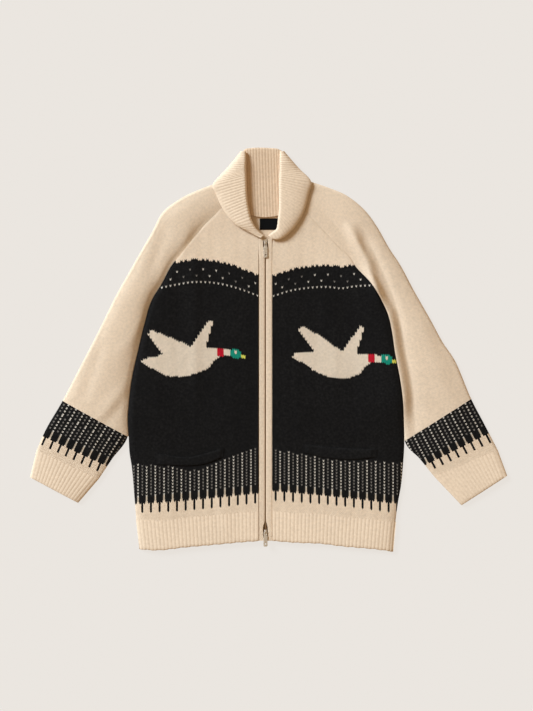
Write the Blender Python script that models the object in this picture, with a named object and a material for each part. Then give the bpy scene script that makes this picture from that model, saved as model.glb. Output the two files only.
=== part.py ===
# Zip-fronted knitted cardigan with a folded ribbed collar, laid flat on its back.
# The front faces up, +Y runs towards the collar and the underside rests on z = 0.
import math

import bmesh
import bpy
import numpy as np

MM = 0.001

# Thickness and stacking, in millimetres
WALL = 4.0            # heavy wool knit
SEAM = 0.3            # space between pieces that are sewn together
BACK_TOP = WALL
FRONT_LOW = BACK_TOP + SEAM
RIB_PITCH = 7.4       # hem and cuff ribs
RIB_HEIGHT = 0.9
HEM_DEPTH = 62.0
COLLAR_WALL = 3.4
COLLAR_RIB = 4.6
COLLAR_RIB_HEIGHT = 0.8
COLLAR_ROLL = 2.1     # radius of the fold, to the middle of the cloth
STAND_Z = 10.3        # middle of the collar's inner half where it lies on the front
BACK_STAND_Z = 6.1    # the same across the back neck
BACK_FALL_Z = 0.5 * COLLAR_WALL

FRONT_COLUMNS = 12
BACK_COLUMNS = 10
LONGEST_ROW = 55.0    # rows of the body further apart than this get one between them
FIRST_ROW = 110.0     # y of the body's lowest row above the hem's ribs

# Zip sizes
BAND_OUTER = 14.3
BAND_INNER = 2.3
BAND_LOW = 5.3
BAND_TOP = 9.8
CHAIN_HALF = 1.9
TAPE_WIDTH = 10.0
TAPE_THICK = 0.7
SLIDER_WIDE = 8.0
SLIDER_LONG = 12.0
SLIDER_LOW = 5.3
SLIDER_TOP = 10.5
PLATE = 1.0
SLIDER_MOUTH = 8.0    # from the pin to the wide end
POST_LONG = 4.0
POST_HALF = 1.4
ARCH_WIDE = 2.0
ARCH_LONG = 7.0
ARCH_THICK = 1.6
ARCH_HIGH = 3.3
ARCH_BAR = 0.9
ARM_WIDE = 1.5
PIN_Z = 11.65
PIN_RADIUS = 0.75
PULL_WIDE = 8.4
PULL_LONG = 31.0
TOP_PIN_Y = 634.0
LOW_PIN_Y = 29.0
CHAIN_TOP = 8.9

# Neck label, on the back's inner face: lowest and highest corner
LABEL_LOW = (-12.0, 661.5, 4.3)
LABEL_HIGH = (26.5, 685.5, 5.0)

# Where the middle of the laid garment lies from the zip and the hem line
CENTRE_X = 6.5
CENTRE_Y = 410.8

# Side of the front and back with the raglan seam above it: y above the hem line, x from the zip
LEFT_EDGE = [
    (-8, -263), (15, -267), (67, -272), (103, -275), (168, -281), (193, -285), (229, -287), (262, -289),
    (296, -287), (346, -281), (410, -267), (460, -255), (521, -235), (546, -219), (592, -193), (607, -180),
    (636, -157), (668, -131), (707, -93), (727, -79),
]
RIGHT_EDGE = [
    (-13, 267), (25, 270), (91, 278), (124, 284), (176, 289), (208, 291), (256, 290), (309, 287),
    (346, 282), (410, 270), (439, 266), (487, 255), (518, 240), (551, 219), (589, 185), (603, 177),
    (629, 150), (657, 125), (687, 96), (716, 72),
]
# Front neckline: y, distance from the zip
LEFT_NECK = [(644, -14.6), (652, -19), (662, -29), (671, -40), (689, -54), (708, -64), (727, -75)]
RIGHT_NECK = [(643, 14.6), (652, 24), (662, 37), (682, 51), (701, 64), (716, 68)]
# Lowest edge of the hem: x, y
HEM_LINE = [(-263, -8), (-230, -10), (-171, -4), (-104, 2), (-37, 8), (0, 10), (64, 6), (114, 4),
            (165, -2), (232, -8), (267, -13)]
# Back neckline under the collar: x, y
BACK_NECK = [(-79, 727), (-56, 712), (-33, 701), (0, 696), (28, 701), (52, 709), (72, 716)]

# Sleeves, from neck to wrist: inner x, y beside the body, then outer x, y on the fold
LEFT_SLEEVE = [
    (-77, 727, -93, 762), (-93, 707, -129, 750), (-131, 668, -175, 729), (-157, 636, -215, 699),
    (-193, 592, -238, 657), (-219, 546, -257, 624), (-235, 521, -282, 580), (-255, 460, -314, 523),
    (-267, 410, -339, 472), (-277, 363, -362, 426), (-287, 304, -390, 372), (-289, 229, -425, 304),
    (-322, 181, -459, 246), (-350, 139, -480, 200),
]
RIGHT_SLEEVE = [
    (72, 716, 91, 764), (96, 687, 135, 749), (125, 657, 171, 733), (150, 629, 207, 704),
    (185, 589, 234, 668), (219, 551, 259, 624), (240, 518, 285, 584), (258, 472, 312, 533),
    (270, 410, 345, 475), (280, 355, 371, 426), (287, 309, 398, 386), (292, 220, 430, 308),
    (324, 181, 459, 254), (354, 144, 487, 200),
]
# Wrist edge of each cuff: inner x, y, outer x, y
LEFT_WRIST = (-393, 89, -494, 143)
RIGHT_WRIST = (411, 84, 507, 146)
LAST_BESIDE_BODY = 11   # the sleeves part from the body after this row

# Folded collar on the front: roll x, y, edge x, y, inner half's end x, y, height of the edge
LEFT_LEAF = [
    (-5, 648, -10, 644, -9, 646, 14.3),
    (-15, 657, -39, 660, -27, 657, 12.4),
    (-24, 668, -60, 671, -43, 669, 10.9),
    (-32, 686, -77, 687, -58, 688, 10.7),
    (-37, 710, -92, 710, -68, 707, 10.7),
    (-40, 735, -103, 735, -80, 732, 10.7),
    (-41, 762, -110, 756, -86, 764, 10.7),
    (-42, 788, -82, 788, -70, 788, 5.4),
    (-42, 808, -65, 808, -57, 806, 5.4),
    (-43, 825, -51, 825, -49, 823, 5.4),
]
RIGHT_LEAF = [
    (7, 648, 12, 643, 11, 645, 14.3),
    (17, 656, 29, 642, 25, 648, 12.6),
    (25, 664, 47, 652, 40, 659, 11.4),
    (28, 685, 66, 673, 54, 680, 10.7),
    (30, 708, 81, 701, 67, 701, 10.7),
    (30, 735, 90, 735, 78, 731, 10.7),
    (30, 762, 95, 762, 82, 764, 10.7),
    (31, 788, 71, 788, 60, 788, 5.4),
    (31, 808, 53, 808, 44, 806, 5.4),
    (32, 825, 38, 825, 37, 823, 5.4),
]
# Collar across the back neck: seam x, y, roll x, y, lower edge x, y
BACK_COLLAR = [
    (-86, 764, -46, 827, -90, 772), (-72, 729, -40, 830, -76, 748), (-54, 706, -33, 831, -56, 738),
    (-33, 693, -20, 832, -28, 734), (-3, 688, -3, 832, -3, 733), (28, 692, 14, 831, 22, 734),
    (50, 702, 25, 830, 45, 738), (70, 727, 29, 828, 66, 748), (83, 763, 34, 826, 86, 772),
]
# Welts over the pocket mouths: top x, y, lower x, y
LEFT_WELT = [(-230, 193, -229, 170), (-167, 185, -167, 167), (-127, 193, -127, 171), (-87, 205, -89, 185)]
RIGHT_WELT = [(81, 213, 81, 195), (120, 207, 120, 185), (177, 203, 177, 180), (233, 202, 232, 185)]

# Soft folds of the upper layer: from x, y, to x, y, height (a trough is below zero), half width
FRONT_FOLDS = [
    (-152, 640, -146, 300, 1.2, 16), (-60, 560, -75, 260, 0.7, 30), (120, 600, 150, 330, 0.9, 24),
    (60, 470, 80, 200, 0.7, 26),
]
SLEEVE_FOLDS = [
    (-203, 672, -236, 520, -3.0, 12), (-245, 560, -300, 330, 0.8, 22), (-330, 440, -420, 240, 0.7, 24),
    (190, 655, 216, 597, -3.0, 12), (216, 597, 257, 504, -3.0, 13), (300, 500, 380, 330, 0.8, 24),
    (340, 380, 440, 220, 0.7, 24),
]

FABRICS = {
    "cream": ((0.79, 0.66, 0.49), 0.92, 0.0),
    "black": ((0.012, 0.011, 0.011), 0.92, 0.0),
    "tape": ((0.10, 0.065, 0.04), 0.85, 0.0),
    "metal": ((0.62, 0.60, 0.57), 0.32, 1.0),
    "label": ((0.008, 0.008, 0.008), 0.6, 0.0),
}


def smooth_step(value):
    value = np.clip(value, 0.0, 1.0)
    return value * value * (3 - 2 * value)


def through(table, column, at):
    """Smooth curve of one column of a table against its first column."""
    rows = np.array(table, float)
    xs, ys = rows[:, 0], rows[:, column]
    slopes = np.gradient(ys, xs)
    at = min(max(at, xs[0]), xs[-1])
    k = min(max(int(np.searchsorted(xs, at)) - 1, 0), len(xs) - 2)
    step = xs[k + 1] - xs[k]
    t = (at - xs[k]) / step
    return float(
        ys[k] * (2 * t**3 - 3 * t**2 + 1)
        + ys[k + 1] * (3 * t**2 - 2 * t**3)
        + slopes[k] * step * (t**3 - 2 * t**2 + t)
        + slopes[k + 1] * step * (t**3 - t**2)
    )


def along(table, at):
    """Every column of a table at a place between its rows, numbered from 0."""
    numbered = [(i, *row) for i, row in enumerate(table)]
    return [through(numbered, c, at) for c in range(1, len(numbered[0]))]


def fabric(name):
    if name in bpy.data.materials:
        return bpy.data.materials[name]
    colour, rough, metallic = FABRICS[name]
    made = bpy.data.materials.new(name)
    made.use_nodes = True
    shader = made.node_tree.nodes["Principled BSDF"]
    shader.inputs["Base Color"].default_value = (*colour, 1.0)
    shader.inputs["Roughness"].default_value = rough
    shader.inputs["Metallic"].default_value = metallic
    return made


def place(name, bm, material, pivot=(CENTRE_X, CENTRE_Y, 0.0)):
    """Turn a mesh drawn in millimetres from the zip and hem into an object of the laid garment."""
    for v in bm.verts:
        v.co = [(v.co[i] - pivot[i]) * MM for i in range(3)]
    mesh = bpy.data.meshes.new(name)
    bm.to_mesh(mesh)
    bm.free()
    mesh.materials.append(fabric(material))
    made = bpy.data.objects.new(name, mesh)
    bpy.context.collection.objects.link(made)
    return made


def wall(name, outer, inner, material):
    """A closed wall of cloth between two grids of points, its outer and its inner face."""
    rows, columns = len(outer), len(outer[0])
    bm = bmesh.new()
    bmesh.ops.create_grid(bm, x_segments=columns - 1, y_segments=rows - 1, size=1.0)
    bm.verts.ensure_lookup_table()
    spot = bm.verts.layers.int.new("spot")
    for i, v in enumerate(bm.verts):
        v[spot] = i
    sheet = bm.faces[:]
    raised = bmesh.ops.extrude_face_region(bm, geom=sheet, use_keep_orig=True)
    lifted = {v for v in raised["geom"] if isinstance(v, bmesh.types.BMVert)}
    for v in bm.verts:
        row, column = divmod(v[spot], columns)
        v.co = (outer if v in lifted else inner)[row][column]
    bmesh.ops.recalc_face_normals(bm, faces=bm.faces[:])
    if bm.calc_volume(signed=True) < 0:
        bmesh.ops.reverse_faces(bm, faces=bm.faces[:])
    return place(name, bm, material)


def fold_height(table, x, y):
    total = 0.0
    for x1, y1, x2, y2, height, half in table:
        run = math.hypot(x2 - x1, y2 - y1)
        ux, uy = (x2 - x1) / run, (y2 - y1) / run
        along_it = (x - x1) * ux + (y - y1) * uy
        across = (x - x1) * uy - (y - y1) * ux
        ends = smooth_step((along_it + 30) / 60) * smooth_step((run + 30 - along_it) / 60)
        total += height * float(ends) * math.exp(-((across / half) ** 2))
    return total


def parting(y):
    """0 at the neck, where sleeve and body run on flush, 1 where their edges round away."""
    return float(smooth_step((655 - y) / 130))


def front_swell(x, y, edge):
    """Space between front and back layers over the least one."""
    inside = min(abs(edge - x) / 60, 1.0)
    open_part = 1 - parting(y) * (1 - inside) ** 2
    neck = float(smooth_step((660 - y) / 80))
    return max(0.0, (1.3 * open_part + fold_height(FRONT_FOLDS, x, y)) * neck)


def front_levels(x, y, edge):
    """Heights of the front's inner and outer faces."""
    low = FRONT_LOW + front_swell(x, y, edge)
    rounding = max(0.0, 1 - abs(edge - x) / 14) ** 2
    return low, low + WALL - 2.3 * parting(y) * rounding


def body_rows(side):
    """Rows shared by body and sleeve, from the neck down: place in the sleeve's table, and y."""
    sleeve = LEFT_SLEEVE if side < 0 else RIGHT_SLEEVE
    other = RIGHT_SLEEVE if side < 0 else LEFT_SLEEVE
    rows = []
    for k in range(LAST_BESIDE_BODY):
        upper, lower = sleeve[k][1], sleeve[k + 1][1]
        rows.append((float(k), upper))
        if max(upper - lower, other[k][1] - other[k + 1][1]) > LONGEST_ROW:
            rows.append((k + 0.5, 0.5 * (upper + lower)))
    rows.append((float(LAST_BESIDE_BODY), sleeve[LAST_BESIDE_BODY][1]))
    return rows


def edge_rows(side):
    """y of each row of the body's side, from the hem's ribs up."""
    beside = [y for _, y in body_rows(side)]
    return [FIRST_ROW, 0.5 * (FIRST_ROW + beside[-1])] + beside[::-1]


def edge_x(side, y):
    return through(LEFT_EDGE if side < 0 else RIGHT_EDGE, 1, y)


def hem_y(x):
    return through(HEM_LINE, 1, x)


def front_end(side, y):
    """x where a row of the front stops: at the zip band, or at the neckline above it."""
    neck = LEFT_NECK if side < 0 else RIGHT_NECK
    if y <= neck[0][0]:
        return side * (BAND_OUTER + SEAM)
    return through(neck, 1, y)


def spread(share):
    """Columns set closer together near both ends."""
    return share - 0.16 * math.sin(math.tau * share) / math.tau


def front_row(side, y_side, y_zip, columns):
    """Points of one row across a front, from the side edge to the zip."""
    start = edge_x(side, y_side)
    stop = front_end(side, y_zip)
    outer, inner = [], []
    for c in range(columns + 1):
        share = spread(c / columns)
        x = start + (stop - start) * share
        y = y_side + (y_zip - y_side) * share
        low, high = front_levels(x, y, edge_x(side, y))
        outer.append((x, y, high))
        inner.append((x, y, low))
    return outer, inner


def hem_ends(side):
    """x of a hem's two ends at its lower edge, and how far its upper corners lie from them."""
    start = edge_x(-1, 0) if side == 0 else edge_x(side, 0)
    stop = edge_x(1, 0) if side == 0 else side * (BAND_OUTER + SEAM)
    start_shift = edge_x(side or -1, HEM_DEPTH) - start
    stop_shift = edge_x(1, HEM_DEPTH) - stop if side == 0 else 0.0
    return start, stop, start_shift, stop_shift


def hem_point(side, across, up):
    """A point of a hem, across from its side edge, up from its lower edge; side 0 is the back."""
    start, stop, start_shift, stop_shift = hem_ends(side)
    x = start + (stop - start) * across
    y = hem_y(x) + HEM_DEPTH * up
    return x + up * (start_shift * (1 - across) + stop_shift * across), y


def make_front(side, name):
    outer, inner = [], []
    high_row, low_row = [], []
    for c in range(FRONT_COLUMNS + 1):
        x, y = hem_point(side, spread(c / FRONT_COLUMNS), 1.0)
        low, high = front_levels(x, y, edge_x(side, y))
        high_row.append((x, y + SEAM, high))
        low_row.append((x, y + SEAM, low))
    outer.append(high_row)
    inner.append(low_row)
    neck = (LEFT_NECK if side < 0 else RIGHT_NECK)[0][0]
    own, other = edge_rows(side), edge_rows(-side)
    for i, (mine, theirs) in enumerate(zip(own, other)):
        y_zip = mine if mine > neck else min(0.5 * (mine + theirs), neck)
        if mine <= neck < own[i + 1]:
            y_zip = neck
        high_row, low_row = front_row(side, mine, y_zip, FRONT_COLUMNS)
        outer.append(high_row)
        inner.append(low_row)
    return wall(name, outer, inner, "black")


def rib(position, pitch, height):
    return height * (0.5 - 0.5 * math.cos(math.tau * position / pitch))


def make_front_hem(side, name):
    """Ribbed hem of one front, raised where the ribs run up it."""
    start, stop = hem_ends(side)[:2]
    ribs = int(abs(start - stop) / RIB_PITCH)
    outer, inner = [], []
    for share in (0.0, 0.1, 1.0):
        high_row, low_row = [], []
        for c in range(2 * ribs + 1):
            x, y = hem_point(side, c / (2 * ribs), share)
            low, high = front_levels(x, y, edge_x(side, y))
            end = 1.2 if share == 0.0 else 0.0
            high_row.append((x, y, high - end + rib(c, 2, RIB_HEIGHT) * (0.4 if end else 1.0)))
            low_row.append((x, y, low))
        outer.append(high_row)
        inner.append(low_row)
    return wall(name, outer, inner, "cream")


def make_back():
    left, right = edge_rows(-1), edge_rows(1)
    first = [hem_point(0, c / BACK_COLUMNS, 1.0) for c in range(BACK_COLUMNS + 1)]
    rows = [[(x, y + SEAM) for x, y in first]]
    top_left, top_right = left[-1], right[-1]
    for y_left, y_right in zip(left, right):
        start, stop = edge_x(-1, y_left), edge_x(1, y_right)
        near_neck = float(smooth_step((min(y_left, y_right) - 560) / (top_right - 560)))
        row = []
        for c in range(BACK_COLUMNS + 1):
            share = c / BACK_COLUMNS
            x = start + (stop - start) * share
            straight = top_left + (top_right - top_left) * share
            dip = through(BACK_NECK, 1, x) - straight
            row.append((x, y_left + (y_right - y_left) * share + near_neck * dip))
        rows.append(row)
    upper = [[(x, y, BACK_TOP) for x, y in row] for row in rows]
    under = [[(x, y, 0.0) for x, y in row] for row in rows]
    return wall("back", upper, under, "black")


def make_back_hem():
    """Ribbed hem of the back: it lies on the table, so its underside stays flat."""
    rows = [[hem_point(0, c / BACK_COLUMNS, up) for c in range(BACK_COLUMNS + 1)] for up in (0.0, 1.0)]
    upper = [[(x, y, BACK_TOP) for x, y in row] for row in rows]
    under = [[(x, y, 0.0) for x, y in row] for row in rows]
    return wall("hem_back", upper, under, "cream")


def sleeve_section(width, part, y_inner, shape):
    """Cross section of a laid sleeve, open at its seam: list of across, outer z and inner z."""
    top_steps, bottom_steps, fold_radius = shape
    turn = min(9.0, 0.3 * width)
    flat = width - turn
    section = []
    for i in range(top_steps + 1):
        a = flat * i / top_steps
        inside = min(a / 45, (width - a) / 45, 1.0)
        low = FRONT_LOW + 3.0 * part * (1 - (1 - inside) ** 2)
        rounding = max(0.0, 1 - a / 14) ** 2
        section.append((a, a, low + WALL - 2.3 * parting(y_inner) * rounding, low))
    high, low = section[-1][2], section[-1][3]
    middle = 0.5 * (FRONT_LOW + BACK_TOP)
    for degrees in fold_radius:
        angle = math.radians(degrees)
        up, over = math.sin(angle), math.cos(angle)
        outer_z = middle + (high - middle if up > 0 else middle) * up
        inner_z = middle + (low - middle if up > 0 else middle - BACK_TOP) * up
        section.append((flat + turn * over, flat + (turn - WALL) * over, outer_z, inner_z))
    for i in range(bottom_steps + 1):
        a = flat * (1 - i / bottom_steps)
        section.append((a, a, 0.0, BACK_TOP))
    return section


def sleeve_grid(rows, folds, shape, ribs=None):
    """Outer and inner points of a sleeve from rows of inner x, y, outer x, y and fullness."""
    outer, inner = [], []
    for number, (xi, yi, xo, yo, full) in enumerate(rows):
        width = math.hypot(xo - xi, yo - yi)
        section = sleeve_section(width, full, yi, shape)
        high_row, low_row = [], []
        for place_number, (a_out, a_in, z_out, z_in) in enumerate(section):
            over = place_number <= shape[0]
            px, py = xi + (xo - xi) * a_out / width, yi + (yo - yi) * a_out / width
            qx, qy = xi + (xo - xi) * a_in / width, yi + (yo - yi) * a_in / width
            lift = 0.0
            if over:
                calm = min(1.0, a_out / 20, (width - a_out) / 20) * full
                lift = max(fold_height(folds, px, py) * calm, FRONT_LOW - z_in)
            raised = 0.0
            if ribs and place_number < len(section) - shape[1] - 1:
                raised = rib(place_number, 2, RIB_HEIGHT) * ribs[number]
            high_row.append((px, py, z_out + lift + raised))
            low_row.append((qx, qy, z_in + lift))
        outer.append(high_row)
        inner.append(low_row)
    return outer, inner


def sleeve_rows(side):
    """Rows from neck to cuff: beside the body they share the body's own rows."""
    table = LEFT_SLEEVE if side < 0 else RIGHT_SLEEVE
    places = body_rows(side)
    places += [(at, None) for at in (LAST_BESIDE_BODY + 0.5, LAST_BESIDE_BODY + 1.0, len(table) - 1.0)]
    rows = []
    for at, y in places:
        xi, yi, xo, yo = along(table, at)
        if y is not None:
            yi = y
            xi = edge_x(side, yi) + side * (SEAM + 0.3)
        full = float(smooth_step(at / 3.0)) * (1 - 0.75 * float(smooth_step((at - 11) / 2)))
        rows.append((xi, yi, xo, yo, full))
    return rows


def make_sleeve(side, name):
    outer, inner = sleeve_grid(sleeve_rows(side), SLEEVE_FOLDS, (9, 2, (45, 0, -45)))
    return wall(name, outer, inner, "cream")


def make_cuff(side, name):
    """Ribbed cuff, a flattened tube with an open wrist."""
    last = (LEFT_SLEEVE if side < 0 else RIGHT_SLEEVE)[-1]
    wrist = LEFT_WRIST if side < 0 else RIGHT_WRIST
    run = math.hypot(wrist[2] - last[2], wrist[3] - last[3])
    rows = []
    for share in (SEAM / run, 0.9, 1.0):
        corner = [last[i] + (wrist[i] - last[i]) * share for i in range(4)]
        rows.append((*corner, 0.25))
    width = math.hypot(wrist[0] - wrist[2], wrist[1] - wrist[3])
    steps = 2 * int(width / RIB_PITCH)
    outer, inner = sleeve_grid(rows, [], (steps, 2, (45, 0, -45)), (1.0, 1.0, 0.4))
    return wall(name, outer, inner, "cream")


def thicken(grid, thick, raised):
    """Outer and inner points of a cloth whose middle surface and raised ribs are given."""
    points = np.array(grid)
    along_rows = np.gradient(points, axis=0)
    along_columns = np.gradient(points, axis=1)
    normal = np.cross(along_columns, along_rows)
    normal /= np.linalg.norm(normal, axis=2)[:, :, None]
    half = 0.5 * thick
    outer = points + normal * (half + np.array(raised))[:, :, None]
    inner = points - normal * half
    outer[:, :, 2] = np.maximum(outer[:, :, 2], 0.0)
    return outer.tolist(), inner.tolist()


def leaf_path(row):
    """Middle of a collar leaf across one place: inner half, roll, then the half that shows."""
    roll, edge, end = np.array(row[0:2]), np.array(row[2:4]), np.array(row[4:6])
    edge_z = row[6]
    away = edge - roll
    away /= np.linalg.norm(away)
    centre = roll + away * COLLAR_ROLL
    fall_z = STAND_Z + 2 * COLLAR_ROLL
    path = [(*end, STAND_Z)]
    for degrees in (-90, 0, 90):
        angle = math.radians(degrees)
        flat = centre - away * COLLAR_ROLL * math.cos(angle)
        path.append((*flat, STAND_Z + COLLAR_ROLL + COLLAR_ROLL * math.sin(angle)))
    for share in (0.78, 0.93, 1.0):
        flat = centre + (edge - centre) * share
        path.append((*flat, edge_z + (fall_z - edge_z) * math.sqrt(max(0.0, 1 - share**7))))
    return path


def make_leaf(side, name):
    table = LEFT_LEAF if side < 0 else RIGHT_LEAF
    middle = [along(table, i / 4) for i in range(4 * (len(table) - 1) + 1)]
    length = sum(
        math.hypot(a[2] + a[0] - b[2] - b[0], a[3] + a[1] - b[3] - b[1]) / 2
        for a, b in zip(middle, middle[1:])
    )
    ribs = int(length / COLLAR_RIB)
    grid, raised = [], []
    for c in range(2 * ribs + 1):
        row = along(table, (len(table) - 1) * c / (2 * ribs))
        path = leaf_path(row)
        grid.append(path)
        raised.append([rib(c, 2, COLLAR_RIB_HEIGHT) * (i >= 2) for i in range(len(path))])
    outer, inner = thicken(grid, COLLAR_WALL, raised)
    if side < 0:
        outer, inner = thicken(grid[::-1], COLLAR_WALL, raised[::-1])
    return wall(name, outer, inner, "cream")


def back_collar_path(row):
    """Middle of the collar at the back: the inner half up to the roll, then the outer half under it."""
    seam, roll, edge = np.array(row[0:2]), np.array(row[2:4]), np.array(row[4:6])
    middle_z = 0.5 * (BACK_STAND_Z + BACK_FALL_Z)
    radius = 0.5 * (BACK_STAND_Z - BACK_FALL_Z)
    toward = roll - seam
    toward /= np.linalg.norm(toward)
    centre = roll - toward * radius
    path = [(*(seam + (centre - seam) * share), BACK_STAND_Z) for share in (0.0, 0.5)]
    for degrees in (90, 0, -90):
        angle = math.radians(degrees)
        path.append((*(centre + toward * radius * math.cos(angle)), middle_z + radius * math.sin(angle)))
    path.append((*edge, BACK_FALL_Z))
    return path


def make_back_collar():
    ribs = 22
    grid, raised = [], []
    for c in range(2 * ribs + 1):
        path = back_collar_path(along(BACK_COLLAR, (len(BACK_COLLAR) - 1) * c / (2 * ribs)))
        grid.append(path)
        raised.append([rib(c, 2, COLLAR_RIB_HEIGHT) * (i <= 3) for i in range(len(path))])
    outer, inner = thicken(grid[::-1], COLLAR_WALL, raised[::-1])
    return wall("collar_back", outer, inner, "cream")


def make_band(side, name):
    """Narrow knitted band beside the zip, drawn aside where a slider needs room."""
    neck = LEFT_NECK if side < 0 else RIGHT_NECK
    start, stop = hem_y(0), neck[0][0] - 1.0
    beside_slider = [pin + step for pin in (LOW_PIN_Y, TOP_PIN_Y) for step in (-26, -18, -12, 12, 18, 26)]
    levels = sorted([start, 200.0, 400.0, stop] + [y for y in beside_slider if start < y < stop - 2])
    outer, inner = [], []
    for y in levels:
        room = sum(math.exp(-(((y - pin) / 17) ** 4)) for pin in (TOP_PIN_Y, LOW_PIN_Y))
        near = BAND_INNER + 2.7 * min(room, 1.0)
        high_row, low_row = [], []
        for share, drop in ((0.0, 1.4), (0.3, 0.1), (0.7, 0.1), (1.0, 1.4)):
            x = side * (near + (BAND_OUTER - near) * share)
            high_row.append((x, y, BAND_TOP - drop))
            low_row.append((x, y, BAND_LOW))
        outer.append(high_row)
        inner.append(low_row)
    return wall(name, outer, inner, "cream")


def make_welt(side, name):
    """Ribbed welt over a pocket mouth, made from the front's own surface and moved out."""
    table = LEFT_WELT if side < 0 else RIGHT_WELT
    outer, inner = [], []
    for i in range(4 * (len(table) - 1) + 1):
        xt, yt, xl, yl = along(table, i / 4)
        high_row, low_row = [], []
        for share, rise in ((0.0, 2.0), (0.2, 2.8), (0.75, 2.2), (1.0, 1.1)):
            x, y = xt + (xl - xt) * share, yt + (yl - yt) * share
            base = front_levels(x, y, edge_x(side, y))[1] + SEAM + 0.15
            high_row.append((x, y, base + rise))
            low_row.append((x, y, base))
        outer.append(high_row)
        inner.append(low_row)
    return wall(name, outer, inner, "black")


def block(bm, low, high):
    """A box between two corners."""
    made = bmesh.ops.create_cube(bm, size=1.0)["verts"]
    for v in made:
        v.co = [low[i] if v.co[i] < 0 else high[i] for i in range(3)]
    return made


def make_strip(name, low, high, material):
    bm = bmesh.new()
    block(bm, low, high)
    return place(name, bm, material)


def join_solids(name, shapes, pivot=(CENTRE_X, CENTRE_Y, 0.0), parent=None):
    """Union of metal box shapes, each given by its lowest and highest corner."""
    first = None
    for i, (low, high) in enumerate(shapes):
        bm = bmesh.new()
        block(bm, low, high)
        made = place(f"{name}_piece_{i}" if first else name, bm, "metal", pivot)
        made.parent = parent
        if first is None:
            first = made
            continue
        made.hide_render = True
        made.display_type = "WIRE"
        union = first.modifiers.new(f"join {i}", "BOOLEAN")
        union.operation = "UNION"
        union.solver = "EXACT"
        union.object = made
    return first


def make_slider(name, pin_y, facing):
    """Zip slider: two plates on a post and the crown arch that carries the pull."""
    half = 0.5 * SLIDER_WIDE
    mouth, tail = pin_y + facing * SLIDER_MOUTH, pin_y - facing * (SLIDER_LONG - SLIDER_MOUTH)
    low_y, high_y = sorted((mouth, tail))
    post_low, post_high = sorted((mouth, mouth - facing * POST_LONG))
    shapes = [
        ((-half, low_y, SLIDER_LOW), (half, high_y, SLIDER_LOW + PLATE)),
        ((-half, low_y, SLIDER_TOP - PLATE), (half, high_y, SLIDER_TOP)),
        ((-POST_HALF, post_low, SLIDER_LOW + 0.5), (POST_HALF, post_high, SLIDER_TOP - 0.5)),
    ]
    foot, side, crown = 0.5 * ARCH_LONG, 0.5 * ARCH_WIDE, SLIDER_TOP + ARCH_HIGH
    for end in (-1, 1):
        near, far = sorted((pin_y + end * foot, pin_y + end * (foot - ARCH_THICK)))
        shapes.append(((-side, near, SLIDER_TOP - 0.4), (side, far, crown - 0.2)))
    shapes.append(((-side, pin_y - foot + 0.4, crown - ARCH_BAR), (side, pin_y + foot - 0.4, crown)))
    return join_solids(name, shapes)


def make_pull(name, pin_y):
    """Pull tab on its cross pin under the arch; the hinge it hangs on lies on the pin's axis."""
    hinge = bpy.data.objects.new(f"{name}_hinge", None)
    hinge.location = [c * MM for c in (-CENTRE_X, pin_y - CENTRE_Y, PIN_Z)]
    bpy.context.collection.objects.link(hinge)
    arm_in = 0.5 * ARCH_WIDE + 0.4
    arm_out = arm_in + ARM_WIDE
    half, thick = 0.5 * PULL_WIDE, PIN_RADIUS
    shapes = [
        ((-arm_out + 0.2, -thick, -thick), (arm_out - 0.2, thick - 0.02, thick - 0.02)),
        ((-arm_out, -6.6, -thick), (-arm_in, thick, thick)),
        ((arm_in, -6.6, -thick), (arm_out, thick, thick)),
        ((-arm_out - 0.4, -8.6, -thick + 0.05), (arm_out + 0.4, -5.4, thick - 0.05)),
        ((-half, -PULL_LONG, -thick), (half, -8.2, thick)),
    ]
    return join_solids(name, shapes, (0.0, 0.0, 0.0), hinge)


for existing in list(bpy.data.objects):
    bpy.data.objects.remove(existing)

make_back()
make_back_hem()
for side, word in ((-1, "left"), (1, "right")):
    make_front(side, f"front_{word}")
    make_front_hem(side, f"hem_{word}")
    make_sleeve(side, f"sleeve_{word}")
    make_cuff(side, f"cuff_{word}")
    make_leaf(side, f"collar_{word}")
    make_band(side, f"band_{word}")
    make_welt(side, f"pocket_welt_{word}")
make_back_collar()
make_strip("neck_label", LABEL_LOW, LABEL_HIGH, "label")
tape_ends = (hem_y(0) + 1.0, TOP_PIN_Y + 4.0)
for side, word in ((-1, "left"), (1, "right")):
    near, far = sorted((side * SEAM, side * (SEAM + TAPE_WIDTH)))
    tape_z = (FRONT_LOW, FRONT_LOW + TAPE_THICK)
    make_strip(f"zip_tape_{word}", (near, tape_ends[0], tape_z[0]), (far, tape_ends[1], tape_z[1]), "tape")
chain_low = LOW_PIN_Y + SLIDER_LONG - SLIDER_MOUTH + SEAM
chain_high = TOP_PIN_Y - SLIDER_LONG + SLIDER_MOUTH - SEAM
make_strip("zip_chain", (-CHAIN_HALF, chain_low, BAND_LOW), (CHAIN_HALF, chain_high, CHAIN_TOP), "metal")
make_slider("slider_top", TOP_PIN_Y, 1)
make_slider("slider_low", LOW_PIN_Y, -1)
make_pull("pull_top", TOP_PIN_Y)
make_pull("pull_low", LOW_PIN_Y)
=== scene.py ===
import math

import bmesh
import bpy
import numpy as np
from mathutils import Matrix


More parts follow.
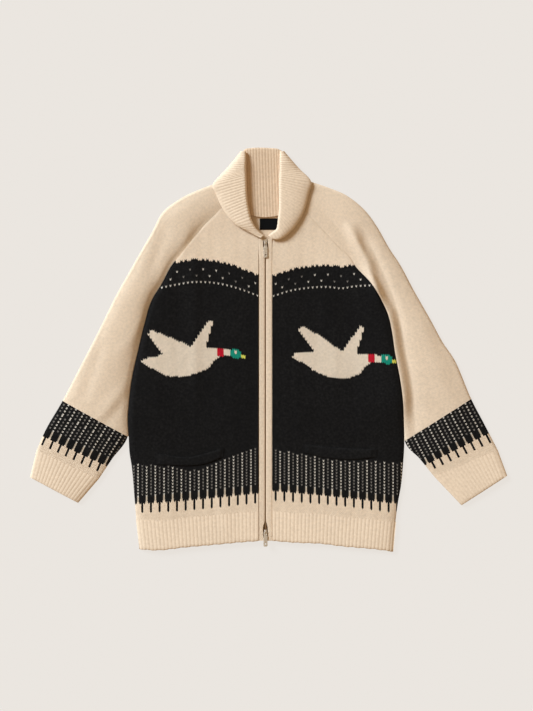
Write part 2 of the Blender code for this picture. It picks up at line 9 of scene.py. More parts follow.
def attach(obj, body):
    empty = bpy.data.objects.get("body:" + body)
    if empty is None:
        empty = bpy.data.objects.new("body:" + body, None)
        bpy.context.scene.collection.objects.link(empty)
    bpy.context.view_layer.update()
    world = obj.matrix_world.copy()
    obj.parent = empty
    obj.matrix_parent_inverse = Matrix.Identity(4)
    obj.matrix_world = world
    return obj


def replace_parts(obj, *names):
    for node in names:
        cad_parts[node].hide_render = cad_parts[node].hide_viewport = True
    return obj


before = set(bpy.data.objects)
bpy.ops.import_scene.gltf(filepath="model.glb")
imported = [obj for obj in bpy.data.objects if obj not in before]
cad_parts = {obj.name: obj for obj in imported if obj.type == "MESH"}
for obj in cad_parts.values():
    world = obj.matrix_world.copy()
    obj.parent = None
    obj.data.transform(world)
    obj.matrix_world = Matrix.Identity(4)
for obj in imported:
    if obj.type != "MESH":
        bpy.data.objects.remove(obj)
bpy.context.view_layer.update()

# All sizes are millimetres from the zip (x = 0) and the hem line (y = 0), as the knitter's own plan has them
mm = 0.001
garment = {
    "centreX": 6.5, "centreY": 410.8,       # middle of the frame on the plan
    "wall": 4.0, "seam": 0.3, "frontLow": 4.3, "hemDeep": 62.0,
    "groove": 0.6, "grooveWide": 3.5,       # dip along a raglan seam
    "roundDeep": 2.3, "roundWide": 14,      # and how the edges round away where sleeve and body part
    "partFrom": 630, "partOver": 150,
    "swell": 2.8, "swellReach": 60, "calmFrom": 660, "calmOver": 80,
    "backReach": 300, "backRound": 1.1, "backRoundWide": 5,
    "neckHalf": 66, "shoulderY": {-1: 727.0, 1: 716.0},
}
stitch = {"wide": 4.55, "tall": 3.5, "lean": 0.9, "courses": 206, "settle": 14}

# Side of the body with the raglan seam above it: y, x
bodyEdge = {
    -1: [(-8, -263), (15, -267), (67, -272), (103, -275), (168, -281), (193, -285), (229, -287), (262, -289),
         (296, -287), (346, -281), (410, -267), (460, -255), (521, -235), (546, -219), (592, -193),
         (607, -180), (636, -157), (668, -131), (707, -93), (727, -79)],
    1: [(-13, 267), (25, 270), (91, 278), (124, 284), (176, 289), (208, 291), (256, 290), (309, 287),
        (346, 282), (410, 270), (439, 266), (487, 255), (518, 240), (551, 219), (589, 185), (603, 177),
        (629, 150), (657, 125), (687, 96), (716, 72)],
}
# Front neckline: distance from the zip, y
frontNeck = {
    -1: [(14.6, 644), (19, 652), (29, 662), (40, 671), (54, 689), (64, 708), (75, 727), (79, 727.5)],
    1: [(14.6, 643), (24, 652), (37, 662), (51, 682), (64, 701), (68, 716), (72, 716.5)],
}
hemLine = [(-263, -8), (-230, -10), (-171, -4), (-104, 2), (-37, 8), (0, 10), (64, 6), (114, 4), (165, -2),
           (232, -8), (267, -13)]
backNeck = [(-79, 727), (-56, 712), (-33, 701), (0, 696), (28, 701), (52, 709), (72, 716)]

# Courses of knitting, counted up from the hem's ribs, and where they lie: distance from the zip, y
keyCourses = [0, 5, 14, 159]
courseLines = {
    -1: [[(14, 91), (180, 74), (266, 70)],
         [(14, 127), (265, 103)],
         [(14, 565), (54, 582), (85, 592), (155, 598.5), (193, 592), (230, 584)]],
    1: [[(14, 97), (150, 86), (266, 71)],
        [(14, 131), (266, 105)],
        [(18, 565), (47, 576), (86, 584), (132, 587), (159, 584), (185, 588.6), (230, 592)]],
}
# Where the speckles stop: distance from the zip, y
speckleTop = {
    -1: [(18, 204), (56, 193), (89, 181), (127, 164), (167, 160), (207, 166), (282, 171)],
    1: [(16, 204), (72, 192), (108, 185), (148, 179), (209, 177), (290, 173)],
}

# Sleeves, from neck to wrist: inner x, y beside the body, then outer x, y on the fold
sleeveLine = {
    -1: [(-77, 727, -93, 762), (-93, 707, -129, 750), (-131, 668, -175, 729), (-157, 636, -215, 699),
         (-193, 592, -238, 657), (-219, 546, -257, 624), (-235, 521, -282, 580), (-255, 460, -314, 523),
         (-267, 410, -339, 472), (-277, 363, -362, 426), (-287, 304, -390, 372), (-289, 229, -425, 304),
         (-322, 181, -459, 246), (-350, 139, -480, 200)],
    1: [(72, 716, 91, 764), (96, 687, 135, 749), (125, 657, 171, 733), (150, 629, 207, 704),
        (185, 589, 234, 668), (219, 551, 259, 624), (240, 518, 285, 584), (258, 472, 312, 533),
        (270, 410, 345, 475), (280, 355, 371.5, 426), (287, 309, 399.5, 383), (292, 220, 431, 308),
        (324, 181, 459, 254), (354, 144, 487, 200)],
}
wristLine = {-1: (-393, 89, -494, 143), 1: (411, 84, 507, 146)}
lastBesideBody = 11

# Folded collar: roll x, y, edge x, y, inner half's end x, y, height of the edge
collarLeaf = {
    -1: [(-5, 648, -10, 644, -9, 646, 14.3), (-15, 657, -39, 660, -27, 657, 12.4),
         (-24, 668, -60, 671, -43, 669, 10.9), (-32, 686, -77, 687, -58, 688, 10.7),
         (-37, 710, -92, 710, -68, 707, 10.7), (-40, 735, -103, 735, -80, 732, 10.7),
         (-41, 762, -110, 756, -86, 764, 10.7), (-42, 788, -82, 788, -70, 788, 5.4),
         (-42, 808, -65, 808, -57, 806, 5.4), (-43, 825, -51, 825, -49, 823, 5.4)],
    1: [(7, 648, 12, 643, 11, 645, 14.3), (17, 656, 29, 642, 25, 648, 12.6),
        (25, 664, 47, 652, 40, 659, 11.4), (28, 685, 66, 673, 54, 680, 10.7),
        (30, 708, 81, 701, 67, 701, 10.7), (30, 735, 90, 735, 78, 731, 10.7),
        (30, 762, 95, 762, 82, 764, 10.7), (31, 788, 71, 788, 60, 788, 5.4),
        (31, 808, 53, 808, 44, 806, 5.4), (32, 825, 38, 825, 37, 823, 5.4)],
}
# Collar across the back neck: seam x, y, roll x, y, lower edge x, y
backCollarLine = [
    (-86, 764, -46, 827, -90, 772), (-72, 729, -40, 830, -76, 748), (-54, 706, -33, 831, -56, 738),
    (-33, 693, -20, 832, -28, 734), (-3, 688, -3, 832, -3, 733), (28, 692, 14, 831, 22, 734),
    (50, 702, 25, 830, 45, 738), (70, 727, 29, 828, 66, 748), (83, 763, 34, 826, 86, 772),
]
# Welts over the pocket mouths: top x, y, lower x, y
weltLine = {
    -1: [(-230, 193, -229, 170), (-167, 185, -167, 167), (-127, 193, -127, 171), (-87, 205, -89, 185)],
    1: [(81, 213, 81, 195), (120, 207, 120, 185), (177, 203, 177, 180), (233, 202, 232, 185)],
}
# Soft folds: from x, y, to x, y, height (a trough is below zero), half width. Each runs out over its end.
foldEnd = 30
frontFolds = [
    (-152, 640, -146, 300, 1.6, 16), (-186, 620, -176, 470, -1.2, 18), (-60, 560, -75, 260, 0.9, 30),
    (-105, 690, -112, 600, -0.8, 16), (120, 600, 150, 330, 1.1, 24), (60, 470, 80, 200, 0.8, 26),
    (-235, 330, -200, 230, 1.0, 18), (225, 340, 190, 230, 1.0, 20), (40, 640, 70, 560, 0.8, 16),
    (-200, 150, -190, 60, 0.8, 16), (150, 150, 160, 50, 0.8, 18), (-90, 120, -80, 20, 0.7, 14),
]
# The body's edge beside the sleeve is puffed up: at the seam, and all of it at this way in. The sleeve
# falls from it over its slope.
edgePuff = {"high": {-1: 2.6, 1: 12.0}, "atSeam": {-1: 0.0, 1: 1.0}, "reach": 11.0, "fade": 60.0,
            "slope": 27.0, "from": {-1: 620, 1: 612}, "to": {-1: 190, 1: 225}, "ease": 90}
# Folds across the raglan seams
shoulderFold = [(178, 658, 214, 594, 9.0, 11), (214, 594, 238, 520, 8.0, 11), (-160, 662, -180, 606, 2.4, 14)]
sleeveFolds = [
    (-206, 672, -238, 575, -3.4, 18), (-343, 416, -380, 311, -1.7, 13),
    (-289, 338, -343, 270, 1.7, 14), (-302, 300, -352, 232, -1.5, 12), (-239, 484, -303, 402, 1.4, 16),
    (-300, 560, -345, 450, 1.0, 18), (-395, 345, -432, 262, 1.1, 12),
    (202, 652, 234, 586, -6.0, 12), (234, 586, 258, 512, -5.0, 12), (322, 470, 372, 350, 1.2, 20),
    (330, 300, 392, 262, -1.2, 13), (360, 330, 430, 262, 1.1, 15), (250, 640, 300, 560, 0.9, 18),
]


def onScreen(red, green, blue):
    # a colour given as it looks on a screen, 0 to 255, turned into light
    parts = [value / 255 for value in (red, green, blue)]
    return [part / 12.92 if part < 0.04045 else ((part + 0.055) / 1.055) ** 2.4 for part in parts] + [1.0]


yarns = {
    "cream": onScreen(242, 216, 186),
    "black": onScreen(14, 12, 11),
    "dot": onScreen(240, 228, 210),
    "dimDot": onScreen(140, 132, 122),
    "birdCream": onScreen(232, 212, 187),
    # the collar's inner face: the reverse of its ribs, a little darker, and painted darker still for the
    # shade deep in the neck between the leaves
    "innerShadedCream": onScreen(224, 194, 162),
    "red": onScreen(192, 18, 38),
    "green": onScreen(18, 140, 115),
    "yellow": onScreen(222, 216, 92),
    "gapCream": onScreen(234, 212, 184),
    "tape": onScreen(150, 118, 86),
}
# stitches squeezed narrow by the black ones beside them
narrowYarns = ["dot", "dimDot", "gapCream"]
yarnOrder = list(yarns)


def smoothStep(value):
    value = np.clip(value, 0.0, 1.0)
    return value * value * (3 - 2 * value)


def through(table, column, at):
    # smooth curve of one column of a table against its first column
    rows = np.array(table, float)
    xs, ys = rows[:, 0], rows[:, column]
    slopes = np.gradient(ys, xs)
    at = np.clip(at, xs[0], xs[-1])
    k = np.clip(np.searchsorted(xs, at) - 1, 0, len(xs) - 2)
    step = xs[k + 1] - xs[k]
    t = (at - xs[k]) / step
    value = ys[k] * (2 * t**3 - 3 * t**2 + 1) + ys[k + 1] * (3 * t**2 - 2 * t**3)
    return value + step * (slopes[k] * (t**3 - 2 * t**2 + t) + slopes[k + 1] * (t**3 - t**2))


def along(table, at):
    # every column of a table at places between its rows, numbered from 0
    numbered = [(i, *row) for i, row in enumerate(table)]
    return np.stack([through(numbered, c, at) for c in range(1, len(numbered[0]))], axis=-1)


def lengthAlong(table, columns):
    # distance run on the line through two columns of a table, and the places where it is run
    places = np.linspace(0, len(table) - 1, 400)
    line = along(table, places)[:, columns]
    return np.concatenate([[0], np.cumsum(np.hypot(*np.diff(line, axis=0).T))]), places


def foldHeight(table, x, y):
    # height at a point of all the folds of a table
    total = np.zeros_like(x)
    for x1, y1, x2, y2, height, half in table:
        run = math.hypot(x2 - x1, y2 - y1)
        ux, uy = (x2 - x1) / run, (y2 - y1) / run
        forward = (x - x1) * ux + (y - y1) * uy
        across = (x - x1) * uy - (y - y1) * ux
        begun = smoothStep((forward + foldEnd) / (2 * foldEnd))
        left = smoothStep((run + foldEnd - forward) / (2 * foldEnd))
        total += height * (begun * left) * np.exp(-((across / half) ** 2))
    return total


def parting(y):
    # 0 at the neck, where sleeve and body run on flush, 1 where their edges round away
    return smoothStep((garment["partFrom"] - y) / garment["partOver"])


def edgeX(side, y):
    return through(bodyEdge[side], 1, y)


def hemY(x):
    return through(hemLine, 1, x)


def rounding(fromSeam, y):
    # how far a cloth's face falls away beside the raglan seam
    wide = garment["roundDeep"] * parting(y) * np.maximum(0.0, 1 - fromSeam / garment["roundWide"]) ** 2
    return wide + garment["groove"] * np.maximum(0.0, 1 - fromSeam / garment["grooveWide"]) ** 2


def puffAt(side, y):
    # how high the body's edge is puffed up
    rising = (edgePuff["from"][side] - y) / edgePuff["ease"]
    falling = (y - edgePuff["to"][side]) / edgePuff["ease"]
    return edgePuff["high"][side] * smoothStep(rising) * smoothStep(falling)


def frontLevels(x, y, edge):
    # heights of the front's inner and outer faces
    fromEdge = np.abs(edge - x)
    inside = np.minimum(fromEdge / garment["swellReach"], 1.0)
    openPart = 1 - parting(y) * (1 - inside) ** 2
    atSeam = np.where(edge < 0, edgePuff["atSeam"][-1], edgePuff["atSeam"][1])
    puff = np.where(edge < 0, puffAt(-1, y), puffAt(1, y)) * np.exp(-((fromEdge / edgePuff["fade"]) ** 2))
    puff *= atSeam + (1 - atSeam) * smoothStep(fromEdge / edgePuff["reach"])
    calm = smoothStep((garment["calmFrom"] - y) / garment["calmOver"])
    swell = np.maximum(0.0, (garment["swell"] * openPart + foldHeight(frontFolds, x, y)) * calm) + puff
    swell += foldHeight(shoulderFold, x, y)
    low = garment["frontLow"] + swell
    return low, low + garment["wall"] - rounding(fromEdge, y)


def facesOf(x, y, high, low):
    # outer and inner points of a cloth from its plan and its two heights
    return np.stack([x, y, high], -1), np.stack([x, y, low], -1)


def toPlace(points):
    # millimetres on the plan to metres in the frame
    return (np.asarray(points, float) - (garment["centreX"], garment["centreY"], 0.0)) * mm


def toMesh(bm, name):
    mesh = bpy.data.meshes.new(name)
    bm.to_mesh(mesh)
    bm.free()
    return mesh


def toScene(name, data):
    made = bpy.data.objects.new(name, data)
    bpy.context.scene.collection.objects.link(made)
    return made


def show(name, mesh, finish, body="garment", sharp=60):
    # a finished mesh as a piece that rides on a body
    mesh.materials.append(finish)
    mesh.shade_smooth()
    mesh.set_sharp_from_angle(angle=math.radians(sharp))
    made = toScene(name, mesh)
    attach(made, body)
    return made


def makeCloth(name, outer, inner, knit, chart, finish, slot):
    # A wall of cloth from two grids of points, its outer and inner face. knit gives each point's
    # place in stitches and in courses, and chart gives each face's yarn from that place.
    rows, columns = outer.shape[:2]
    bm = bmesh.new()
    bmesh.ops.create_grid(bm, x_segments=columns - 1, y_segments=rows - 1, size=1.0)
    spot = bm.verts.layers.int.new("spot")
    outerPlace, innerPlace = toPlace(outer).reshape(-1, 3).tolist(), toPlace(inner).reshape(-1, 3).tolist()
    for i, v in enumerate(bm.verts):
        v[spot] = i
        v.co = outerPlace[i]
    bmesh.ops.remove_doubles(bm, verts=bm.verts[:], dist=0.05 * mm)
    bmesh.ops.delete(bm, geom=[e for e in bm.edges if e.is_wire], context="EDGES")
    bmesh.ops.delete(bm, geom=[v for v in bm.verts if not v.link_faces], context="VERTS")
    raised = bmesh.ops.extrude_face_region(bm, geom=bm.faces[:], use_keep_orig=True)
    lifted = {v for v in raised["geom"] if isinstance(v, bmesh.types.BMVert)}
    for v in bm.verts:
        v.co = (outerPlace if v in lifted else innerPlace)[v[spot]]
    bmesh.ops.recalc_face_normals(bm, faces=bm.faces[:])
    if bm.calc_volume(signed=True) < 0:
        bmesh.ops.reverse_faces(bm, faces=bm.faces[:])
    mesh = toMesh(bm, name)
    paint(mesh, np.stack(np.broadcast_arrays(*knit), -1).reshape(-1, 2), chart)
    mesh.attributes.remove(mesh.attributes["spot"])
    made = show(f"{name}_knit", mesh, finish)
    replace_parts(made, name)


def paint(mesh, knit, chart):
    # the knitted place as a UV map, and the yarn of every face as a colour
    spots = np.zeros(len(mesh.vertices), np.int32)
    mesh.attributes["spot"].data.foreach_get("value", spots)
    corners = np.zeros(len(mesh.loops), np.int32)
    mesh.loops.foreach_get("vertex_index", corners)
    places = knit[spots[corners]]
    mesh.uv_layers.new(name="knit").data.foreach_set("uv", places.astype(np.float32).ravel())
    starts, counts = np.zeros(len(mesh.polygons), np.int32), np.zeros(len(mesh.polygons), np.int32)
    mesh.polygons.foreach_get("loop_start", starts)
    mesh.polygons.foreach_get("loop_total", counts)
    middle = np.add.reduceat(places, starts, axis=0) / counts[:, None]
    used = np.repeat(chart(middle[:, 0], middle[:, 1]), counts)
    colours = np.array([yarns[name] for name in yarnOrder])[used]
    narrow = np.isin(used, [yarnOrder.index(name) for name in narrowYarns])
    # a narrow stitch fades to black towards its two sides
    fromMiddle = np.abs(places[:, 0] - np.repeat(np.floor(middle[:, 0]), counts) - 0.5) * 2
    share = np.clip(np.where(narrow, fromMiddle, 0.0), 0.0, 1.0)[:, None]
    colours = colours * (1 - share) + np.array(yarns["black"]) * share
    layer = mesh.color_attributes.new(name="yarn", type="FLOAT_COLOR", domain="CORNER")
    layer.data.foreach_set("color", colours.astype(np.float32).ravel())


def plain(yarn):
    return lambda across, up: np.full(len(across), yarnOrder.index(yarn))


# Shader maths
class Wire:
    # one socket of a material, so that sums can be written as sums
    def __init__(self, maker, socket):
        self.maker, self.socket = maker, socket

    def maths(self, operation, first, second=None):
        values = [first] if second is None else [first, second]
        return self.maker.node("ShaderNodeMath", {"operation": operation}, values)

    def __add__(self, other):
        return self.maths("ADD", self, other)

    def __radd__(self, other):
        return self.maths("ADD", other, self)

    def __sub__(self, other):
        return self.maths("SUBTRACT", self, other)

    def __rsub__(self, other):
        return self.maths("SUBTRACT", other, self)

    def __mul__(self, other):
        return self.maths("MULTIPLY", self, other)

    def __rmul__(self, other):
        return self.maths("MULTIPLY", other, self)

    def __abs__(self):
        return self.maths("ABSOLUTE", self)

    def fract(self):
        return self.maths("FRACT", self)


class Finish:
    # a material under construction
    def __init__(self, name):
        self.material = bpy.data.materials.new(name)
        self.material.use_nodes = True
        self.tree = self.material.node_tree
        self.shader = self.tree.nodes["Principled BSDF"]

    def node(self, kind, settings, sockets, output=0):
        made = self.tree.nodes.new(kind)
        for key, value in settings.items():
            setattr(made, key, value)
        for key, value in (enumerate(sockets) if isinstance(sockets, list) else sockets.items()):
            if isinstance(value, Wire):
                self.tree.links.new(value.socket, made.inputs[key])
            else:
                made.inputs[key].default_value = value
        return Wire(self, made.outputs[output])

    def set(self, **sockets):
        for key, value in sockets.items():
            socket = self.shader.inputs[key.replace("_", " ")]
            if isinstance(value, Wire):
                self.tree.links.new(value.socket, socket)
            else:
                socket.default_value = value

    def noise(self, where, size, detail=2.0):
        # cloudy value from 0 to 1, its clouds about this size in metres
        return self.node("ShaderNodeTexNoise", {}, {"Vector": where, "Scale": 1 / size, "Detail": detail})

    def multiply(self, first, second):
        settings = {"data_type": "RGBA", "blend_type": "MULTIPLY"}
        return self.node("ShaderNodeMix", settings, {0: 1.0, 6: first, 7: second}, output=2)

    def mix(self, share, first, second):
        return self.node("ShaderNodeMix", {"data_type": "RGBA"}, {0: share, 6: first, 7: second}, output=2)

    def toned(self, colour, tone):
        # a colour made darker or lighter by a number
        return self.multiply(colour, self.node("ShaderNodeCombineColor", {}, [tone, tone, tone]))

    def objectPlace(self):
        return self.node("ShaderNodeTexCoord", {}, {}, output=3)

    def split(self, vector):
        first = self.node("ShaderNodeSeparateXYZ", {}, [vector])
        return [Wire(self, first.socket.node.outputs[i]) for i in range(3)]

    def bump(self, height, strength, distance):
        sockets = {"Strength": strength, "Distance": distance, "Height": height}
        self.set(Normal=self.node("ShaderNodeBump", {}, sockets))


wool = {
    "tone": 0.12,          # large soft changes of colour
    "heather": 0.30,       # between neighbouring stitches
    "valleyShade": 0.22,        # painted shade between the legs of the stitches
    "ribValleyShade": 0.08,     # painted shade between ribs
    # ribbed cloth painted a little darker all over, standing in for the shade of its ribs
    "ribShadeTone": 0.93,
    "relief": 0.0008,
    "ribRelief": 0.00015,
    "halo": 0.03,          # pale loose fibres, which show on the black yarn
    "haloColour": onScreen(178, 172, 164),
    "roughness": 0.92,
    "stitchDip": 0.85,      # fall from a stitch's or rib's middle to its side
    "courseDip": 0.5,
    "ribCourseDip": 0.35,
    "fuzzSize": 0.0011,     # of loose fibres, of clouds of colour and of one stitch's own shade
    "cloudSize": 0.09,
    "heatherSize": 0.005,
}


def woolFinish(name, ribbed):
    # plain knitting shows two legs to a stitch, ribbing one ridge
    made = Finish(name)
    across, up, _ = made.split(made.node("ShaderNodeUVMap", {"uv_map": "knit"}, {}))
    place = made.objectPlace()
    edge = abs(across.fract() - 0.5) * 2
    leg = abs((across * 2).fract() - 0.5) * 2
    course = (up + stitch["lean"] * (1 - edge)).fract()
    middle = abs(course - 0.5) * 2
    if ribbed:
        height = (1 - wool["stitchDip"] * edge * edge) * (1 - wool["ribCourseDip"] * middle * middle)
    else:
        height = (1 - wool["stitchDip"] * leg * leg) * (1 - wool["courseDip"] * middle * middle)
    fuzz = made.noise(place, wool["fuzzSize"], 3.0)
    clouds = made.noise(place, wool["cloudSize"], 2.0)
    heather = made.noise(place, wool["heatherSize"], 1.0)
    # Painted shade: the colour is darker in the valleys between the legs of the stitches or between ribs, and
    # ribbed cloth is darker all over. tone carries this painted shade together with the yarn's own random
    # changes of colour.
    valleyShade = wool["ribValleyShade"] if ribbed else wool["valleyShade"]
    base = wool["ribShadeTone"] if ribbed else 1.0
    shade = base * (1 - valleyShade) + base * valleyShade * height
    tone = shade * (1 + wool["tone"] * (clouds - 0.5) + wool["heather"] * (heather - 0.5))
    yarn = made.node("ShaderNodeVertexColor", {"layer_name": "yarn"}, {})
    haloed = made.mix(wool["halo"] * heather * heather * (0.4 + clouds), yarn, wool["haloColour"])
    made.set(Base_Color=made.toned(haloed, tone))
    made.set(Roughness=wool["roughness"], Sheen_Weight=0.02, Sheen_Roughness=0.6)
    made.set(Specular_IOR_Level=0.1)
    made.bump(height + 0.6 * fuzz, 0.8, wool["ribRelief"] if ribbed else wool["relief"])
    return made.material


knitWool = woolFinish("knitted wool", False)
ribWool = woolFinish("ribbed wool", True)
print("finishes made")


# The knitted pattern
def mapped(value, froms, tos, slope):
    # straight lines from one list of values to another, and past the last pair a slope of its own
    result = tos[-1] + slope * (value - froms[-1])
    for k in range(len(froms) - 2, -1, -1):
        share = (value - froms[k]) / (froms[k + 1] - froms[k])
        result = np.where(value < froms[k + 1], tos[k] + (tos[k + 1] - tos[k]) * share, result)
    return result


def courseY(side, x, course):
    # where a course of knitting lies at a distance from the zip
    return mapped(course, keyCourses, keyLines(side, x), stitch["tall"])


def courseAt(side, x, y):
    # the course of knitting at a point
    return mapped(y, keyLines(side, x), keyCourses, 1 / stitch["tall"])


def keyLines(side, x):
    if side == 0:
        both = zip(keyLines(-1, x), keyLines(1, x))
        return [0.5 * (left + right) for left, right in both]
    ribTop = hemY(x) + garment["hemDeep"] + garment["seam"]
    return [ribTop] + [through(line, 1, np.abs(x)) for line in courseLines[side]]


drips = {"repeat": 4, "dripUpTo": 5, "toothUpTo": 10}
# Courses of dots, counted down from the black's upper edge
yokeDots = [6, 10, 14]


def bandChart(number, row, last=math.inf):
    # drips, teeth and speckles, counted up from the lowest drip: True where the yarn is black,
    # and which pale stitch is worked in it (0 none, 1 dim, 2 bright, 3 the cream between two teeth)
    place = number % drips["repeat"]
    drip = (row < drips["dripUpTo"]) & (place == 1)
    tooth = (row >= drips["dripUpTo"]) & (row < drips["toothUpTo"] - 1) & (place != 3)
    gap = (row >= drips["dripUpTo"] + 1) & (row < drips["toothUpTo"] - 1) & (place == 3)
    above = row >= drips["toothUpTo"] - 1
    speckled = above & (row < last) & (place % 2 == 1) & ((row + (place == 3)) % 2 == 0)
    pale = np.where(speckled, np.where(place == 3, 2, 1), 0)
    return drip | tooth | gap | above, np.where(gap, 3, pale)


def workBand(yarn, black, pale):
    for kind, name in enumerate(["black", "dimDot", "dot", "gapCream"]):
        yarn[black & (pale == kind)] = yarnOrder.index(name)


bird = {
    # a plain flying duck made of ovals and tapered blades, in mm from its middle
    # yarn, middle x, middle y, half width, half height
    "ovals": [("birdCream", -12, -22, 60, 32), ("green", 95, -2, 14, 10)],
    # yarn, from x, from y, to x, to y, width there, width at the tip
    "blades": [
        ("birdCream", -50, -20, -100, -10, 46, 8),
        ("birdCream", 15, -22, 60, -4, 52, 16),
        ("birdCream", -20, -8, -84, 54, 52, 12),
        ("birdCream", 12, -8, 44, 64, 34, 8),
        ("red", 58, -4, 72, -4, 16, 16),
        ("birdCream", 72, -3, 82, -3, 15, 15),
        ("yellow", 107, -5, 116, -5, 8, 6),
        ("birdCream", 92, 1, 98, 1, 5, 5),
    ],
    "middle": {-1: (-158, 410), 1: (158, 400)},
    "tilt": {-1: 0.0, 1: 0.08},
}


def inOval(oval, x, y):
    middleX, middleY, halfWide, halfTall = oval
    return ((x - middleX) / halfWide) ** 2 + ((y - middleY) / halfTall) ** 2 <= 1


def inBlade(blade, x, y):
    # True inside a tapered blade that runs from one point to another
    fromX, fromY, toX, toY, wide, tip = blade
    run = math.hypot(toX - fromX, toY - fromY)
    forward = ((x - fromX) * (toX - fromX) + (y - fromY) * (toY - fromY)) / run
    across = ((y - fromY) * (toX - fromX) - (x - fromX) * (toY - fromY)) / run
    half = 0.5 * (wide + (tip - wide) * forward / run)
    return (forward >= 0) & (forward <= run) & (np.abs(across) <= half)


def bodyChart(side, withBird):
    def chart(across, up):
        number, row = np.floor(across).astype(int), np.floor(up + 0.5 * stitch["lean"]).astype(int)
        yarn = np.full(len(across), yarnOrder.index("cream"))
        fromZip = np.abs(number + 0.5) * stitch["wide"] + zipBand["outer"] * (side != 0)
        sides = [side] if side else [-1, 1]
        tops = [courseAt(one, fromZip, through(speckleTop[one], 1, fromZip)) for one in sides]
        black, pale = bandChart(number, row - keyCourses[1], np.mean(tops, axis=0) - keyCourses[1])
        # the yoke's edge is ragged: here and there the black goes one course up
        ragged = (number * 7 % 5 < 2) | (number * 11 % 9 == 4)
        black &= (row >= keyCourses[1]) & (row < keyCourses[3] + ragged)
        workBand(yarn, black, pale)
        # three rows of dots below it: two of every sixth stitch, here and there faint, and one closer
        first, second, close = keyCourses[3] - np.array(yokeDots)
        spots = (row == first) & (number % 6 == 1) | (row == second) & (number % 6 == 4)
        faint = spots & (number * 5 % 7 < 3)
        spots |= (row == close) & (number % 2 == 0)
        yarn[spots] = yarnOrder.index("dot")
        yarn[faint] = yarnOrder.index("dimDot")
        if withBird:
            middleX, middleY = bird["middle"][side]
            middleAcross = (abs(middleX) - zipBand["outer"] - garment["seam"]) / stitch["wide"]
            x = side * (number + 0.5 - middleAcross) * stitch["wide"]
            middleRow = courseAt(side, np.array([float(middleX)]), np.array([float(middleY)]))
            y = (row + 0.5 - middleRow) * stitch["tall"] + bird["tilt"][side] * x
            for name, *oval in bird["ovals"]:
                yarn[inOval(oval, x, y)] = yarnOrder.index(name)
            for name, *blade in bird["blades"]:
                yarn[inBlade(blade, x, y)] = yarnOrder.index(name)
        return yarn
    return chart


# Fronts and back
zipBand = {"outer": 14.3, "inner": 1.3, "besideSlider": 5.0, "sliderReach": 17, "overTeeth": 2.15,
           "low": 5.3, "lip": 9.0, "top": 10.2, "crown": 0.9}


def makeFront(side, name):
    start = zipBand["outer"] + garment["seam"]
    widest = max(abs(x) for _, x in bodyEdge[side])
    columns = 2 * int((widest - start) / stitch["wide"] + 2)
    half = np.arange(columns + 1)
    course = np.arange(stitch["courses"])[:, None] + 0.0 * half
    column = start + 0.5 * stitch["wide"] * half + 0.0 * course
    inside = column < np.abs(edgeX(side, courseY(side, column, course)))
    lean = np.where(inside & (course > 0), stitch["lean"] * (half % 2), 0.0)
    x = side * column
    for _ in range(stitch["settle"]):
        y = np.minimum(courseY(side, x, course - lean), through(frontNeck[side], 1, np.abs(x)))
        x = side * np.minimum(column, np.abs(edgeX(side, y)))
    low, high = frontLevels(x, y, edgeX(side, y))
    knit = (np.abs(x) - start) / stitch["wide"], courseAt(side, x, y)
    makeCloth(name, *facesOf(x, y, high, low), knit, bodyChart(side, True), knitWool, "black_wool")


def makeBack():
    wide = int(2 * garment["backReach"] / stitch["wide"])
    half = np.arange(-wide, wide + 1)
    course = np.arange(stitch["courses"])[:, None] + 0.0 * half
    column = 0.5 * stitch["wide"] * half + 0.0 * course
    x = column
    for _ in range(stitch["settle"]):
        shoulder = np.where(x < 0, garment["shoulderY"][-1], garment["shoulderY"][1])
        neck = np.where(np.abs(x) < garment["neckHalf"], through(backNeck, 1, x), shoulder)
        y = np.minimum(courseY(0, x, course), neck)
        x = np.clip(column, edgeX(-1, y), edgeX(1, y))
    nearEdge = np.minimum(np.abs(x - edgeX(-1, y)), np.abs(x - edgeX(1, y)))
    rounded = garment["backRound"] * np.maximum(0.0, 1 - nearEdge / garment["backRoundWide"]) ** 2
    knit = x / stitch["wide"], courseAt(0, x, y)
    chart = bodyChart(0, False)
    makeCloth("back", *facesOf(x, y, garment["wall"] - rounded, 0 * x), knit, chart, knitWool, "black_wool")


# Ribbed hems and cuffs
ribs = {"pitch": 7.6, "cuffPitch": 7.1, "height": 0.32, "steps": 8, "lipShare": 0.045, "lipDrop": 1.3,
        "cuffLipShare": 0.05, "cuffLipDrop": 1.2, "edgeWave": 0.5, "edgeScallop": 0.4}


def ribShape(turns):
    # a rounded ridge with a narrow valley either side, once to each turn
    return np.abs(np.sin(math.pi * turns)) ** 0.8


def hemEnds(side):
    start = edgeX(-1, 0) if side == 0 else edgeX(side, 0)
    stop = edgeX(1, 0) if side == 0 else side * (zipBand["outer"] + garment["seam"])
    startShift = edgeX(side or -1, garment["hemDeep"]) - start
    stopShift = edgeX(1, garment["hemDeep"]) - stop if side == 0 else 0.0
    return start, stop, startShift, stopShift


